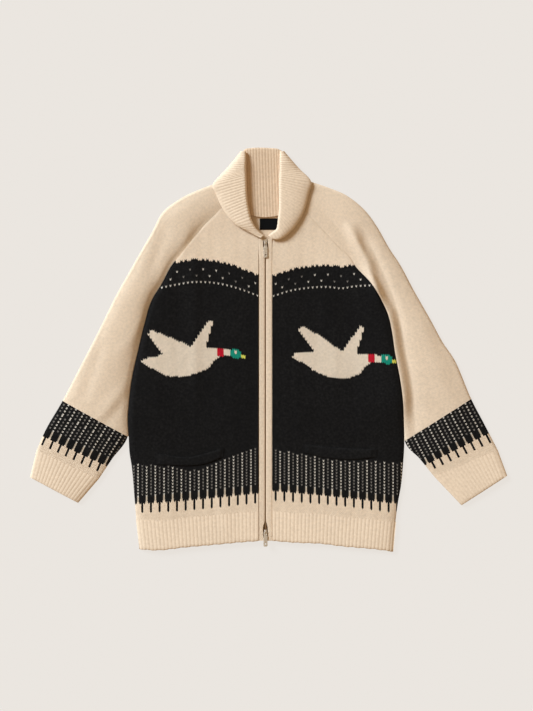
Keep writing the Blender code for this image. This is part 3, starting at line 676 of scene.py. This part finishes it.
def makeHem(side, name):
    start, stop, startShift, stopShift = hemEnds(side)
    count = int(abs(start - stop) / ribs["pitch"])
    turns = np.arange(ribs["steps"] * count + 1) / ribs["steps"]
    top = 1 + 0.8 * garment["seam"] / garment["hemDeep"]
    up = np.array([0.0, 0.006, 0.018, 0.04, 0.1, 0.25, 0.4, 0.55, 0.7, 0.85, 0.97, top])[:, None]
    x = start + (stop - start) * turns / count
    wave = ribs["edgeWave"] * np.sin(2.1 * turns) + ribs["edgeScallop"] * ribShape(turns)
    moved = x + up * (startShift * (1 - turns / count) + stopShift * turns / count)
    y = hemY(x) * (1 - up) + hemY(moved) * up + garment["hemDeep"] * up
    y, x = y - wave * np.clip(1 - up * 12, 0, 1) * (side != 0), moved
    raised = ribs["height"] * ribShape(turns) * np.clip(0.3 + up * 25, 0, 1)
    if side == 0:
        low, high = 0.0 * y, garment["wall"] + 0.0 * y
        raised = raised * 0
    else:
        low, high = frontLevels(x, y, edgeX(side, y))
    rolled = np.maximum(0.0, 1 - up / ribs["lipShare"]) ** 2
    high = high - ribs["lipDrop"] * rolled + raised
    low = low + 0.5 * rolled * (side != 0)
    knit = turns, up * garment["hemDeep"] / stitch["tall"]
    makeCloth(name, *facesOf(x, y, high, low), knit, plain("cream"), ribWool, "cream_wool")


# Sleeves and cuffs
sleeve = {"dome": {-1: 8.0, 1: 5.0}, "domeStart": {-1: 4.0, 1: 26.0},
          "turnDegrees": [75, 60, 45, 30, 15, 0, -15, -30, -45, -60, -75],
          "bandStation": 11.0, "bandEnd": 12.64, "bandCourses": 26, "cuffFull": 0.25, "seamGap": 0.15}


def foldTurn(width):
    # radius of the turn on a laid sleeve's fold
    return np.minimum(9.0, 0.3 * width)


def sleeveSection(width, full, yInner, topAcross, side):
    # cross section of a laid sleeve, open at its seam: across outside and inside, and both heights
    turn = foldTurn(width)
    flat = width - turn
    a = topAcross * flat
    start = sleeve["domeStart"][side]
    share = np.clip((a - start) / (width - start), 0.0, 1.0)
    low = garment["frontLow"] + sleeve["dome"][side] * full * (1 - np.abs(2 * share - 1) ** 2.4)
    fall = np.clip(a / edgePuff["slope"], 0, 1)
    slope = 0.5 * (1 - (4 * fall - fall**4) / 3) + 0.25 * (1 + np.cos(math.pi * fall))
    low = low + edgePuff["atSeam"][side] * puffAt(side, yInner) * slope
    high = low + garment["wall"] - rounding(a, yInner)
    middle = 0.5 * (garment["frontLow"] + garment["wall"])
    angle = np.radians(sleeve["turnDegrees"])
    up, over = np.sin(angle), np.cos(angle)
    lastHigh, lastLow = high[:, -1:], low[:, -1:]
    turnHigh = middle + np.where(up > 0, lastHigh - middle, middle) * up
    turnLow = middle + np.where(up > 0, lastLow - middle, middle - garment["wall"]) * up
    under = topAcross[:, ::-1]
    zero = np.zeros(under.shape)
    acrossOut = np.concatenate([a, flat + turn * over, flat * under], axis=1)
    acrossIn = np.concatenate([a, flat + (turn - garment["wall"]) * over, flat * under], axis=1)
    heightOut = np.concatenate([high, turnHigh, zero], axis=1)
    heightIn = np.concatenate([low, turnLow, zero + garment["wall"]], axis=1)
    return acrossOut, acrossIn, heightOut, heightIn


def sleeveGrid(rows, topAcross, folds, raised, side):
    # outer and inner points of a sleeve from its rows of inner x, y, outer x, y and fullness
    xi, yi, xo, yo, full = [rows[:, i:i + 1] for i in range(5)]
    width = np.hypot(xo - xi, yo - yi)
    acrossOut, acrossIn, heightOut, heightIn = sleeveSection(width, full, yi, topAcross, side)
    px, py = xi + (xo - xi) * acrossOut / width, yi + (yo - yi) * acrossOut / width
    qx, qy = xi + (xo - xi) * acrossIn / width, yi + (yo - yi) * acrossIn / width
    over = np.arange(acrossOut.shape[1]) < topAcross.shape[1]
    calm = np.minimum(np.minimum(1.0, acrossOut / 20), (width - acrossOut) / 20) * full
    lift = np.maximum(foldHeight(folds, px, py) * calm, garment["frontLow"] - heightIn) * over
    lift += foldHeight(shoulderFold, px, py) * np.minimum(1.0, (width - acrossOut) / 20) * over
    outer = np.stack([px, py, heightOut + lift + raised], -1)
    inner = np.stack([qx, qy, heightIn + lift], -1)
    return outer, inner, acrossOut, width


def makeSleeve(side, name):
    table = sleeveLine[side]
    coarse = along(table, np.linspace(0, len(table) - 1, 400))
    middle = 0.5 * (coarse[:, 0:2] + coarse[:, 2:4])
    run = np.concatenate([[0], np.cumsum(np.hypot(*np.diff(middle, axis=0).T))])
    courses = int(run[-1] / stitch["tall"])
    station = np.interp(np.linspace(0, run[-1], courses + 1), run, np.linspace(0, len(table) - 1, 400))
    station = np.union1d(station, [float(lastBesideBody)])
    rows = along(table, station)
    beside = station <= lastBesideBody
    rows[beside, 0] = edgeX(side, rows[beside, 1]) + side * sleeve["seamGap"]
    emptying = (1 - sleeve["cuffFull"]) * smoothStep((station - lastBesideBody) / 2)
    full = smoothStep(station / 3.0) * (1 - emptying)
    rows = np.concatenate([rows, full[:, None]], axis=1)
    widths = np.hypot(rows[:, 2] - rows[:, 0], rows[:, 3] - rows[:, 1])
    # columns run along the fold: those past the inner seam end on it
    halves = 2 * int(widths.max() / stitch["wide"])
    fromFold = np.arange(halves + 1)[::-1] * 0.5 * stitch["wide"]
    flat = (widths - foldTurn(widths))[:, None]
    topAcross = np.maximum(0.0, 1 - fromFold / flat)
    topAcross[:, 0] = 0.0
    outer, inner, across, width = sleeveGrid(rows, topAcross, sleeveFolds, 0.0, side)
    around = (width - across) / stitch["wide"]
    under = np.arange(across.shape[1]) >= topAcross.shape[1] + 6
    knit = np.where(under, -around, around), np.arange(len(station))[::-1, None]
    bandTop = courses - np.interp(sleeve["bandStation"], station, np.arange(len(station)))
    bandLow = courses - np.interp(sleeve["bandEnd"], station, np.arange(len(station)))

    def chart(stitchAcross, up):
        yarn = np.full(len(up), yarnOrder.index("cream"))
        row = np.floor((up - bandLow) * sleeve["bandCourses"] / (bandTop - bandLow)).astype(int)
        black, pale = bandChart(np.floor(stitchAcross).astype(int), row)
        black &= (row >= 0) & (row < sleeve["bandCourses"])
        workBand(yarn, black, pale)
        return yarn

    makeCloth(name, outer, inner, knit, chart, knitWool, "cream_wool")


def makeCuff(side, name):
    last, wrist = np.array(sleeveLine[side][-1], float), np.array(wristLine[side], float)
    run = math.hypot(wrist[2] - last[2], wrist[3] - last[3])
    up = np.array([0.05 / run, 0.1, 0.3, 0.5, 0.7, 0.9, 0.96, 0.985, 1.0])
    rows = last + (wrist - last) * up[:, None]
    rows = np.concatenate([rows, np.full((len(up), 1), sleeve["cuffFull"])], axis=1)
    width = math.hypot(wrist[0] - wrist[2], wrist[1] - wrist[3])
    count = int(width / ribs["cuffPitch"])
    steps = count * ribs["steps"]
    topAcross = np.arange(steps + 1)[None, :] / steps + 0.0 * up[:, None]
    number = np.arange(2 * (steps + 1) + len(sleeve["turnDegrees"]))
    onTop = number <= steps
    calm = np.where(up > 0.9, 1 - 8 * (up - 0.9), 1.0)[:, None]
    raised = np.where(onTop, ribs["height"] * ribShape(number / ribs["steps"]), 0.0) * calm
    outer, inner, _, _ = sleeveGrid(rows, topAcross, [], raised, side)
    rolled = np.maximum(0.0, (up - 1 + ribs["cuffLipShare"]) / ribs["cuffLipShare"])[:, None] ** 2
    outer[..., 2] -= np.where(onTop, ribs["cuffLipDrop"], 0.0) * rolled
    knit = number / ribs["steps"], up[:, None] * run / stitch["tall"]
    makeCloth(name, outer, inner, knit, plain("cream"), ribWool, "cream_wool")


# Folded collar
collar = {"wall": 3.4, "rib": {-1: 6.25, 1: 6.8}, "ribHeight": 0.36, "steps": 8, "slant": 0.8,
          "roll": 2.1, "fullRoll": 2.4, "standZ": 10.3,
          "backStandZ": 6.1, "backRib": 6.2, "backRibHeight": 0.45}


def squareTo(grid):
    # directions square to a grid of points
    normal = np.cross(np.gradient(grid, axis=1), np.gradient(grid, axis=0))
    return normal / np.maximum(np.linalg.norm(normal, axis=2), 1e-9)[:, :, None]


def thicken(grid, normal, thick, raised):
    # outer and inner points of a cloth whose middle surface, thickness and ribs are given
    outer = grid + normal * (0.5 * thick + raised)[:, :, None]
    inner = grid - normal * (0.5 * thick)[:, :, None]
    outer[:, :, 2] = np.maximum(outer[:, :, 2], 0.0)
    return outer, inner


def makeLeaf(side, name):
    table = collarLeaf[side]
    run, places = lengthAlong(table, [2, 3])
    count = int(run[-1] / collar["rib"][side])
    turns = np.arange(collar["steps"] * count + 1) / collar["steps"]
    place = np.interp(np.linspace(0, run[-1], len(turns)), run, places)
    # the ribs run down from the roll to the edge, most of all low on the leaf
    slant = collar["slant"] * smoothStep(place / 2.5) * smoothStep((len(table) - 2 - place) / 4)
    rows, rolls = along(table, place), along(table, place + slant)
    roll, edge, end, edgeZ = rolls[:, 0:2], rows[:, 2:4], rolls[:, 4:6], rows[:, 6]
    away = (edge - roll) / np.linalg.norm(edge - roll, axis=1)[:, None]
    radius = collar["roll"] + collar["fullRoll"] * smoothStep(place / 2.2) * smoothStep((9.4 - place) / 2)
    centre = roll + away * radius[:, None]
    fallZ = collar["standZ"] + 2 * radius
    points = []
    for share in (0.0, 0.35, 0.7):
        flat = end + (centre - end) * share
        points.append(np.column_stack([flat, np.full(len(turns), collar["standZ"])]))
    for degrees in range(-90, 91, 15):
        angle = math.radians(degrees)
        flat = centre - away * radius[:, None] * math.cos(angle)
        points.append(np.column_stack([flat, collar["standZ"] + radius * (1 + math.sin(angle))]))
    shares = np.array([0.08, 0.16, 0.25, 0.35, 0.45, 0.55, 0.65, 0.74, 0.82, 0.88, 0.93, 0.965, 0.985, 1.0])
    for share in shares:
        flat = centre + (edge - centre) * share
        points.append(np.column_stack([flat, edgeZ + (fallZ - edgeZ) * math.sqrt(max(0.0, 1 - share**2.8))]))
    grid = np.stack(points, axis=1)
    outward = np.arange(grid.shape[1]) >= 6
    rim = np.clip((np.arange(grid.shape[1]) - grid.shape[1] + 6) / 2, 0, 1)
    raised = collar["ribHeight"] * (ribShape(turns)[:, None] * (1 - rim) + 0.9 * rim) * outward
    thick = np.full(grid.shape[:2], collar["wall"])
    thick[:, -4:] *= [0.97, 0.86, 0.66, 0.3]
    thick[:, 0] *= 0.5
    raised[:, -1] *= 0.3
    if side < 0:
        grid, thick, raised, turns = grid[::-1], thick[::-1], raised[::-1], turns[::-1]
    knit = turns[:, None], np.linspace(0, 30, grid.shape[1])
    outer, inner = thicken(grid, squareTo(grid), thick, raised)
    makeCloth(name, outer, inner, knit, plain("cream"), ribWool, "cream_wool")


def makeBackCollar():
    run, places = lengthAlong(backCollarLine, [0, 1])
    count = int(run[-1] / collar["backRib"])
    turns = np.arange(collar["steps"] * count + 1) / collar["steps"]
    distance = np.linspace(0, run[-1], len(turns))
    # the ribs run side by side up to the roll, and crowd together only under the leaves
    rollRun, rollPlaces = lengthAlong(backCollarLine, [2, 3])
    fromMiddle, reach = distance - 0.5 * run[-1], 0.5 * rollRun[-1]
    onRoll = reach + fromMiddle / (1 + (np.abs(fromMiddle) / reach) ** 6) ** (1 / 6)
    rows = along(backCollarLine, np.interp(distance, run, places))
    rolls = along(backCollarLine, np.interp(onRoll, rollRun, rollPlaces))
    seam, roll, edge = rows[:, 0:2], rolls[:, 2:4], rows[:, 4:6]
    fallZ = 0.5 * collar["wall"]
    middleZ, radius = 0.5 * (collar["backStandZ"] + fallZ), 0.5 * (collar["backStandZ"] - fallZ)
    toward = (roll - seam) / np.linalg.norm(roll - seam, axis=1)[:, None]
    centre = roll - toward * radius
    level = np.zeros(len(turns))
    points, normals, crowding = [], [], []
    squeezed = np.clip(2 * np.gradient(onRoll) / np.gradient(distance), 0, 1)
    for share in np.linspace(0, 0.94, 16):
        points.append(np.column_stack([seam + (centre - seam) * share, level + collar["backStandZ"]]))
        normals.append(np.column_stack([level, level, level + 1]))
        crowding.append(1 - share * (1 - squeezed))
    for degrees in range(90, -91, -18):
        rise, out = math.sin(math.radians(degrees)), math.cos(math.radians(degrees))
        points.append(np.column_stack([centre + toward * radius * out, level + middleZ + radius * rise]))
        normals.append(np.column_stack([toward * out, level + rise]))
        crowding.append(squeezed)
    for share in (0.2, 0.4, 0.6, 0.8, 0.95, 1.0):
        points.append(np.column_stack([centre + (edge - centre) * share, level + fallZ]))
        normals.append(np.column_stack([level, level, level - 1]))
        crowding.append(level)
    grid, normal = np.stack(points, axis=1), np.stack(normals, axis=1)
    raised = collar["backRibHeight"] * ribShape(turns)[:, None] * np.stack(crowding, axis=1)
    thick = np.full(grid.shape[:2], collar["wall"])
    knit = turns[::-1, None], np.linspace(0, 60, grid.shape[1])
    outer, inner = thicken(grid[::-1], normal[::-1], thick, raised[::-1])
    # its yarn is painted darker for the shade between the two leaves
    makeCloth("collar_back", outer, inner, knit, plain("innerShadedCream"), ribWool, "cream_wool")


# Zip bands and pocket welts
zipPins = {"top": 634.0, "low": 29.0}
weltGap = 0.15


def makeBand(side, name):
    start, stop = float(hemY(0.0)), frontNeck[side][0][1] - 1.0
    y = np.arange(start, stop, stitch["tall"])
    y = np.append(y, stop)[:, None]
    room = sum(np.exp(-(((y - pin) / zipBand["sliderReach"]) ** 4)) for pin in zipPins.values())
    near = zipBand["inner"] + (zipBand["besideSlider"] - zipBand["inner"]) * np.minimum(room, 1.0)
    share = np.array([0.0, 0.04, 0.08, 0.16, 0.3, 0.45, 0.6, 0.75, 0.87, 0.95, 1.0])
    x = side * (near + (zipBand["outer"] - near) * share)
    crown = np.sqrt(np.maximum(0.0, 1 - np.abs(2 * share - 1) ** 4))
    high = zipBand["top"] - zipBand["crown"] + zipBand["crown"] * crown + 0.0 * y
    low = np.where(np.abs(x) < zipBand["overTeeth"], zipBand["lip"], zipBand["low"])
    y = y + 0.0 * x
    knit = (np.abs(x) - near) / stitch["wide"], (y - start) / stitch["tall"]
    makeCloth(name, *facesOf(x, y, high, low), knit, plain("cream"), knitWool, "cream_wool")


def makeWelt(side, name):
    # a raised strip over the pocket's mouth, flatter at its two ends
    table, steps = weltLine[side], 72
    columns = along(table, np.linspace(0, len(table) - 1, steps + 1))
    share = np.array([0.0, 0.04, 0.1, 0.2, 0.35, 0.5, 0.65, 0.8, 0.9, 0.96, 1.0])[:, None]
    x = columns[:, 0] + (columns[:, 2] - columns[:, 0]) * share
    y = columns[:, 1] + (columns[:, 3] - columns[:, 1]) * share
    base = frontLevels(x, y, edgeX(side, y))[1] + garment["seam"] + weltGap
    rise = np.interp(share, [0, 0.1, 0.2, 0.75, 0.92, 1.0], [1.0, 2.0, 2.3, 1.9, 1.5, 0.6])
    fromEnd = np.minimum(np.arange(steps + 1), steps - np.arange(steps + 1)) / steps
    rise = 0.3 + rise * smoothStep(fromEnd / 0.08)
    knit = (np.abs(x) - 14.6) / stitch["wide"], y / stitch["tall"]
    makeCloth(name, *facesOf(x, y, base + rise, base), knit, plain("black"), ribWool, "black_wool")


# Woven tapes and label
def makeStrip(name, low, high, seams, finish, slot):
    # a flat strip of woven cloth between two corners, its edges a little thinner
    wide, long, thick = (high[i] - low[i] for i in range(3))
    share = np.array([0.0, 0.02, 0.06, 0.14, 0.3, 0.5, 0.7, 0.86, 0.94, 0.98, 1.0])
    across, up = np.meshgrid(share, np.linspace(0, 1, seams + 1))
    x, y = low[0] + wide * across, low[1] + long * up
    border = np.minimum(np.minimum(across, 1 - across) * wide, np.minimum(up, 1 - up) * long)
    top = low[2] + thick * (0.6 + 0.4 * smoothStep(border / 0.8))
    makeCloth(name, *facesOf(x, y, top, low[2] + 0.0 * x), (x, y), plain("tape"), finish, slot)


def weaveFinish(name, colour, thread, gloss):
    # twill: threads in slanting steps, each a thread wide
    made = Finish(name)
    across, up, _ = made.split(made.node("ShaderNodeUVMap", {"uv_map": "knit"}, {}))
    ridge = abs(((across + up) * (1 / thread)).fract() - 0.5) * 2
    step = abs((up * (2 / thread)).fract() - 0.5) * 2
    fuzz = made.noise(made.objectPlace(), 0.0009)
    height = 1 - 0.6 * ridge * ridge - 0.3 * step * step
    # painted shade: the grooves between the threads are coloured darker, following the weave's relief
    made.set(Base_Color=made.toned(list(colour), 0.62 + 0.38 * height + 0.2 * (fuzz - 0.5)))
    made.set(Roughness=gloss, Specular_IOR_Level=0.1)
    made.bump(height, 0.5, 0.0002)
    return made.material


# Sewing: rows of stitches, each across the edge that it holds down
def threadFinish(name, colour):
    made = Finish(name)
    place = made.objectPlace()
    twist, fine = made.noise(place, 0.0012, 3.0), made.noise(place, 0.0004, 2.0)
    made.set(Base_Color=made.toned(list(colour), 0.7 + 0.6 * twist), Roughness=0.8, Specular_IOR_Level=0.15)
    made.bump(twist + 0.5 * fine, 0.4, 0.0002)
    return made.material


def makeStitches(name, rows, finish):
    # each row from x, y to x, y, the height of its stitches, their number and half length
    bm = bmesh.new()
    for x1, y1, x2, y2, z, count, half in rows:
        turn = Matrix.Rotation(math.atan2(y2 - y1, x2 - x1) + 0.5 * math.pi - 0.25, 4, "Z")
        for i in range(count):
            share = (i + 0.5) / count
            spot = Matrix.Translation((x1 + (x2 - x1) * share, y1 + (y2 - y1) * share, z))
            shape = spot @ turn @ Matrix.Diagonal((half, 0.45, 0.35, 1.0))
            bmesh.ops.create_uvsphere(bm, u_segments=6, v_segments=6, radius=1.0, matrix=shape)
    for v in bm.verts:
        v.co = toPlace(v.co)
    show(f"{name}_knit", toMesh(bm, name), finish)


def weltStitches():
    rows = []
    for side in (-1, 1):
        for topX, topY, lowX, lowY in (weltLine[side][0], weltLine[side][-1]):
            x, y = np.array([0.5 * (topX + lowX)]), np.array([0.5 * (topY + lowY)])
            z = float(frontLevels(x, y, edgeX(side, y))[1][0]) + 0.6
            rows.append((topX, topY, lowX, lowY, z, 6, 1.8))
    return rows


# Zip, its teeth, sliders and pulls
zipper = {
    "pitch": 2.8, "tooth": 1.15, "reach": 0.95, "half": 1.9, "low": 5.4, "top": 8.9,
    "first": 34.2, "last": 629.0,
    "mouth": 8.0, "plateTop": 10.5, "plateThick": 1.0, "archHigh": 3.2, "archLong": 3.5,
    "plateLow": 5.3, "cheek": (3.3, 3.9), "cheekFrom": 3.0, "cheekTo": 7.4, "slot": 1.4,
    # half widths of a slider's plates, at distances from its pin
    "plate": [(-4.0, 2.7), (-1.5, 2.9), (3.5, 3.9), (7.2, 4.0), (8.0, 3.6)],
    "pinZ": 11.65, "pull": 31.0, "pullHalf": 4.2, "pullThick": 0.75, "hole": 25.4,
}


def metalFinish(name, colour, rough):
    made = Finish(name)
    place = made.objectPlace()
    worn, fine = made.noise(place, 0.004, 4.0), made.noise(place, 0.0006, 2.0)
    made.set(Base_Color=made.toned(list(colour), 0.78 + 0.4 * worn))
    made.set(Metallic=0.8, Roughness=rough + 0.25 * (worn - 0.5) + 0.1 * (fine - 0.5))
    made.bump(0.7 * worn + 0.3 * fine, 0.25, 0.0002)
    return made.material


def solidShape(bm, name, body, finish, node):
    # the finished metal shape as a piece that stands for a solid of the frame
    bmesh.ops.recalc_face_normals(bm, faces=bm.faces[:])
    for v in bm.verts:
        v.co = toPlace(v.co)
    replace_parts(show(f"{name}_metal", toMesh(bm, name), finish, body, 35), node)


def addBlock(bm, low, high):
    made = bmesh.ops.create_cube(bm, size=1.0)["verts"]
    for v in made:
        v.co = [low[i] if v.co[i] < 0 else high[i] for i in range(3)]
    return made


def addPlate(bm, columns, rows, low, thick, windows=()):
    # A flat plate from a grid: rows of y and half width, columns of 1 for its side or else millimetres from
    # the middle. Windows, from x to x and y to y, are left open.
    made = bmesh.ops.create_grid(bm, x_segments=len(columns) - 1, y_segments=len(rows) - 1, size=1.0)["verts"]
    for i, v in enumerate(made):
        y, half = rows[i // len(columns)]
        column = columns[i % len(columns)]
        v.co = (half * column if abs(column) == 1 else column, y, low)
    faces = list({f for v in made for f in v.link_faces})
    middles = [(f, f.calc_center_median()) for f in faces]
    gaps = [f for f, at in middles if any(x1 < at.x < x2 and y1 < at.y < y2 for x1, x2, y1, y2 in windows)]
    bmesh.ops.delete(bm, geom=gaps, context="FACES_ONLY")
    faces = [f for f in faces if f.is_valid]
    raised = bmesh.ops.extrude_face_region(bm, geom=faces, use_keep_orig=True)["geom"]
    lifted = [v for v in raised if isinstance(v, bmesh.types.BMVert)]
    bmesh.ops.translate(bm, verts=lifted, vec=(0, 0, thick))
    return made + lifted


def bevel(bm, edges, reach, steps, clamp=False):
    bmesh.ops.bevel(bm, geom=edges, offset=reach, affect="EDGES", segments=steps, profile=0.5, material=-1,
                    clamp_overlap=clamp)


def roundCorners(bm, spots, reach, steps):
    # round the upright edges of a plate that stand at these places
    uprights = []
    for e in bm.edges:
        first, second = (v.co for v in e.verts)
        upright = abs(first.z - second.z) > 0.5 and (first.xy - second.xy).length < 0.01
        if upright and any(abs(first.x - x) < 0.05 and abs(first.y - y) < 0.05 for x, y in spots):
            uprights.append(e)
    bevel(bm, uprights, reach, steps)


def softenEdges(bm, reach):
    bevel(bm, [e for e in bm.edges if e.is_manifold and e.calc_face_angle(0) > 0.9], reach, 2, True)


def makeTeeth(finish):
    # interlocking teeth: each a narrow body with a rounded head that reaches past the middle
    bm = bmesh.new()
    half = 0.5 * zipper["tooth"]
    count = int((zipper["last"] - zipper["first"]) / zipper["pitch"])
    for side in (-1, 1):
        start = len(bm.verts)
        shape = addBlock(bm, (-zipper["half"], -half, zipper["low"]), (zipper["reach"], half, zipper["top"]))
        edges = list({e for v in shape for e in v.link_edges})
        head = [e for e in edges if all(v.co.x > 0 for v in e.verts)]
        bevel(bm, head, 0.35, 1)
        bm.verts.ensure_lookup_table()
        shape = bm.verts[start:]
        if side > 0:
            bmesh.ops.scale(bm, verts=shape, vec=(-1, 1, 1))
        shift = zipper["first"] + (0.5 * zipper["pitch"] if side > 0 else 0.0)
        bmesh.ops.translate(bm, verts=shape, vec=(0, shift, 0))
        faces = list({f for v in shape for f in v.link_faces})
        bmesh.ops.spin(bm, geom=faces, cent=(0, 0, 0), axis=(0, 0, 1), dvec=(0, zipper["pitch"], 0),
                       angle=0.0, steps=count - 1, use_duplicate=True)
    solidShape(bm, "zip_teeth", "garment", finish, "zip_chain")


def makeSlider(name, pin, heading, finish):
    # two plates with cheeks that turn in at the sides, and a wedge between them at the mouth
    bm = bmesh.new()
    z, thick, slot = zipper["plateTop"], zipper["plateThick"], zipper["slot"]
    for low in (zipper["plateLow"], z - thick):
        addPlate(bm, [-1, -slot, slot, 1], zipper["plate"], low, thick)
    for side in (-1, 1):
        near, far = sorted(side * across for across in zipper["cheek"])
        for low, high in ((z - 2.2, z - thick + 0.2), (6.1, 7.5)):
            addBlock(bm, (near, zipper["cheekFrom"], low), (far, zipper["cheekTo"], high))
    addBlock(bm, (-slot, 4.0, 5.8), (slot, zipper["mouth"], z - 0.5))
    softenEdges(bm, 0.22)
    # the arch that holds the pull is a strap swept over the pin
    strap = bmesh.ops.create_grid(bm, x_segments=1, y_segments=1, size=0.5)["verts"]
    for v in strap:
        v.co = (v.co.x * 2.0, zipper["archLong"] - 0.45 + v.co.y * 0.9, 0.0)
    face = list({f for v in strap for f in v.link_faces})
    bmesh.ops.spin(bm, geom=face, cent=(0, 0, 0), axis=(1, 0, 0), angle=math.pi, steps=12)
    arch = list({v for v in bm.verts if abs(v.co.z) < 4.6 and v.co.z > -0.01})
    for v in arch:
        v.co.z = z - 0.3 + v.co.z * (zipper["archHigh"] + 0.3) / zipper["archLong"]
    bmesh.ops.holes_fill(bm, edges=[e for e in bm.edges if e.is_boundary], sides=4)
    if heading < 0:
        bmesh.ops.rotate(bm, verts=bm.verts[:], cent=(0, 0, 0), matrix=Matrix.Rotation(math.pi, 3, "Z"))
    bmesh.ops.translate(bm, verts=bm.verts[:], vec=(0, pin, 0))
    solidShape(bm, name, "garment", finish, name)


def makePull(name, pin, finish):
    # a flat tab with a window for the arch and a round hole near its end
    bm = bmesh.new()
    thick, half, slot = zipper["pullThick"], zipper["pullHalf"], zipper["slot"]
    end, holeLow, holeHigh = -zipper["pull"], -zipper["hole"] - slot, -zipper["hole"] + slot
    rows = [(end, half), (holeLow, half), (holeHigh, half), (-9.4, half), (-7.4, 3.2), (-5.4, 2.8),
            (-0.75, 2.8), (0.75, 2.6)]
    windows = [(-slot, slot, -5.4, -0.75), (-slot, slot, holeLow, holeHigh)]
    addPlate(bm, [-1, -slot, slot, 1], rows, zipper["pinZ"] - thick, 2 * thick, windows)
    roundCorners(bm, [(x, y) for x in (-slot, slot) for y in (holeLow, holeHigh)], 1.2, 4)
    roundCorners(bm, [(x, end) for x in (-half, half)], 2.2, 5)
    softenEdges(bm, 0.28)
    bmesh.ops.translate(bm, verts=bm.verts[:], vec=(0, pin, 0))
    solidShape(bm, name, name, finish, name)


makeBack()
makeHem(0, "hem_back")
for side, word in ((-1, "left"), (1, "right")):
    makeFront(side, f"front_{word}")
    makeHem(side, f"hem_{word}")
    makeSleeve(side, f"sleeve_{word}")
    makeCuff(side, f"cuff_{word}")
    makeLeaf(side, f"collar_{word}")
    makeBand(side, f"band_{word}")
    makeWelt(side, f"pocket_welt_{word}")
    print(word, "side made")
makeBackCollar()
tapeWeave = weaveFinish("woven zip tape", yarns["tape"], 1.1, 0.85)
labelWeave = weaveFinish("woven label", onScreen(9, 9, 9), 0.9, 0.8)
for side, word in ((-1, "left"), (1, "right")):
    near, far = sorted((side * 0.3, side * 10.3))
    makeStrip(f"zip_tape_{word}", (near, 11.0, 4.3), (far, 638.0, 5.0), 150, tapeWeave, "zip_tape")
makeStrip("neck_label", (-12.0, 661.5, 4.3), (26.5, 685.5, 5.0), 10, labelWeave, "woven_label")
blackThread = threadFinish("black sewing thread", yarns["black"])
labelRows = [(x, 662.0, x, 685.0, 5.0, 9, 1.2) for x in (-11.2, 25.7)]
makeStitches("label_stitches", labelRows, blackThread)
makeStitches("welt_stitches", weltStitches(), blackThread)
print("tapes, label and sewing made")
brass = metalFinish("dull brass teeth", (0.42, 0.27, 0.15, 1.0), 0.45)
nickel = metalFinish("brushed pale metal", (0.92, 0.85, 0.75, 1.0), 0.3)
makeTeeth(brass)
for word, heading in (("top", 1), ("low", -1)):
    makeSlider(f"slider_{word}", zipPins[word], heading, nickel)
    makePull(f"pull_{word}", zipPins[word], nickel)
print("zip made")


# Table, light and camera
studio = {
    "tableShown": onScreen(235, 230, 224), "tableGlow": 0.93, "airColour": (1.0, 0.74, 0.46), "air": 0.39,
    "lampColour": (0.71, 0.85, 1.0), "lamp": 5.3, "lampHeight": 29.0, "lampTurn": 142.0,
    "lampSoftness": 22.0, "viewHeight": 4.147, "lens": 100.0, "aim": (-0.0044, -0.0128),
}


def makeStudio():
    bm = bmesh.new()
    bmesh.ops.create_grid(bm, x_segments=1, y_segments=1, size=6.0)
    bmesh.ops.translate(bm, verts=bm.verts[:], vec=(0, 0, -0.0002))
    mesh = toMesh(bm, "table top")
    finish = Finish("matt table top")
    shown, glow = studio["tableShown"], studio["tableGlow"]
    finish.set(Base_Color=[part * (1 - glow) for part in shown[:3]] + [1.0], Roughness=0.9)
    finish.set(Specular_IOR_Level=0.0, Emission_Color=shown, Emission_Strength=glow)
    mesh.materials.append(finish.material)
    toScene("table_top", mesh)
    scene = bpy.context.scene
    scene.view_settings.view_transform = "Standard"
    scene.world = scene.world or bpy.data.worlds.new("studio air")
    scene.world.use_nodes = True
    air = scene.world.node_tree.nodes["Background"]
    air.inputs["Color"].default_value = (*studio["airColour"], 1.0)
    air.inputs["Strength"].default_value = studio["air"]
    lamp = bpy.data.lights.new("soft lamp", "SUN")
    lamp.energy, lamp.color = studio["lamp"], studio["lampColour"]
    lamp.angle = math.radians(studio["lampSoftness"])
    lampHolder = toScene("soft_lamp", lamp)
    turn, height = math.radians(studio["lampTurn"]), math.radians(studio["lampHeight"])
    flat = math.cos(height)
    lampHolder.location = (math.cos(turn) * flat, math.sin(turn) * flat, math.sin(height))
    lampHolder.rotation_euler = (-lampHolder.location).to_track_quat("-Z", "Y").to_euler()
    camera = bpy.data.cameras.new("camera")
    camera.lens = studio["lens"]
    camera.clip_end = 20.0
    scene.camera = toScene("camera", camera)
    scene.camera.location = (*studio["aim"], studio["viewHeight"])


makeStudio()
print("studio made")
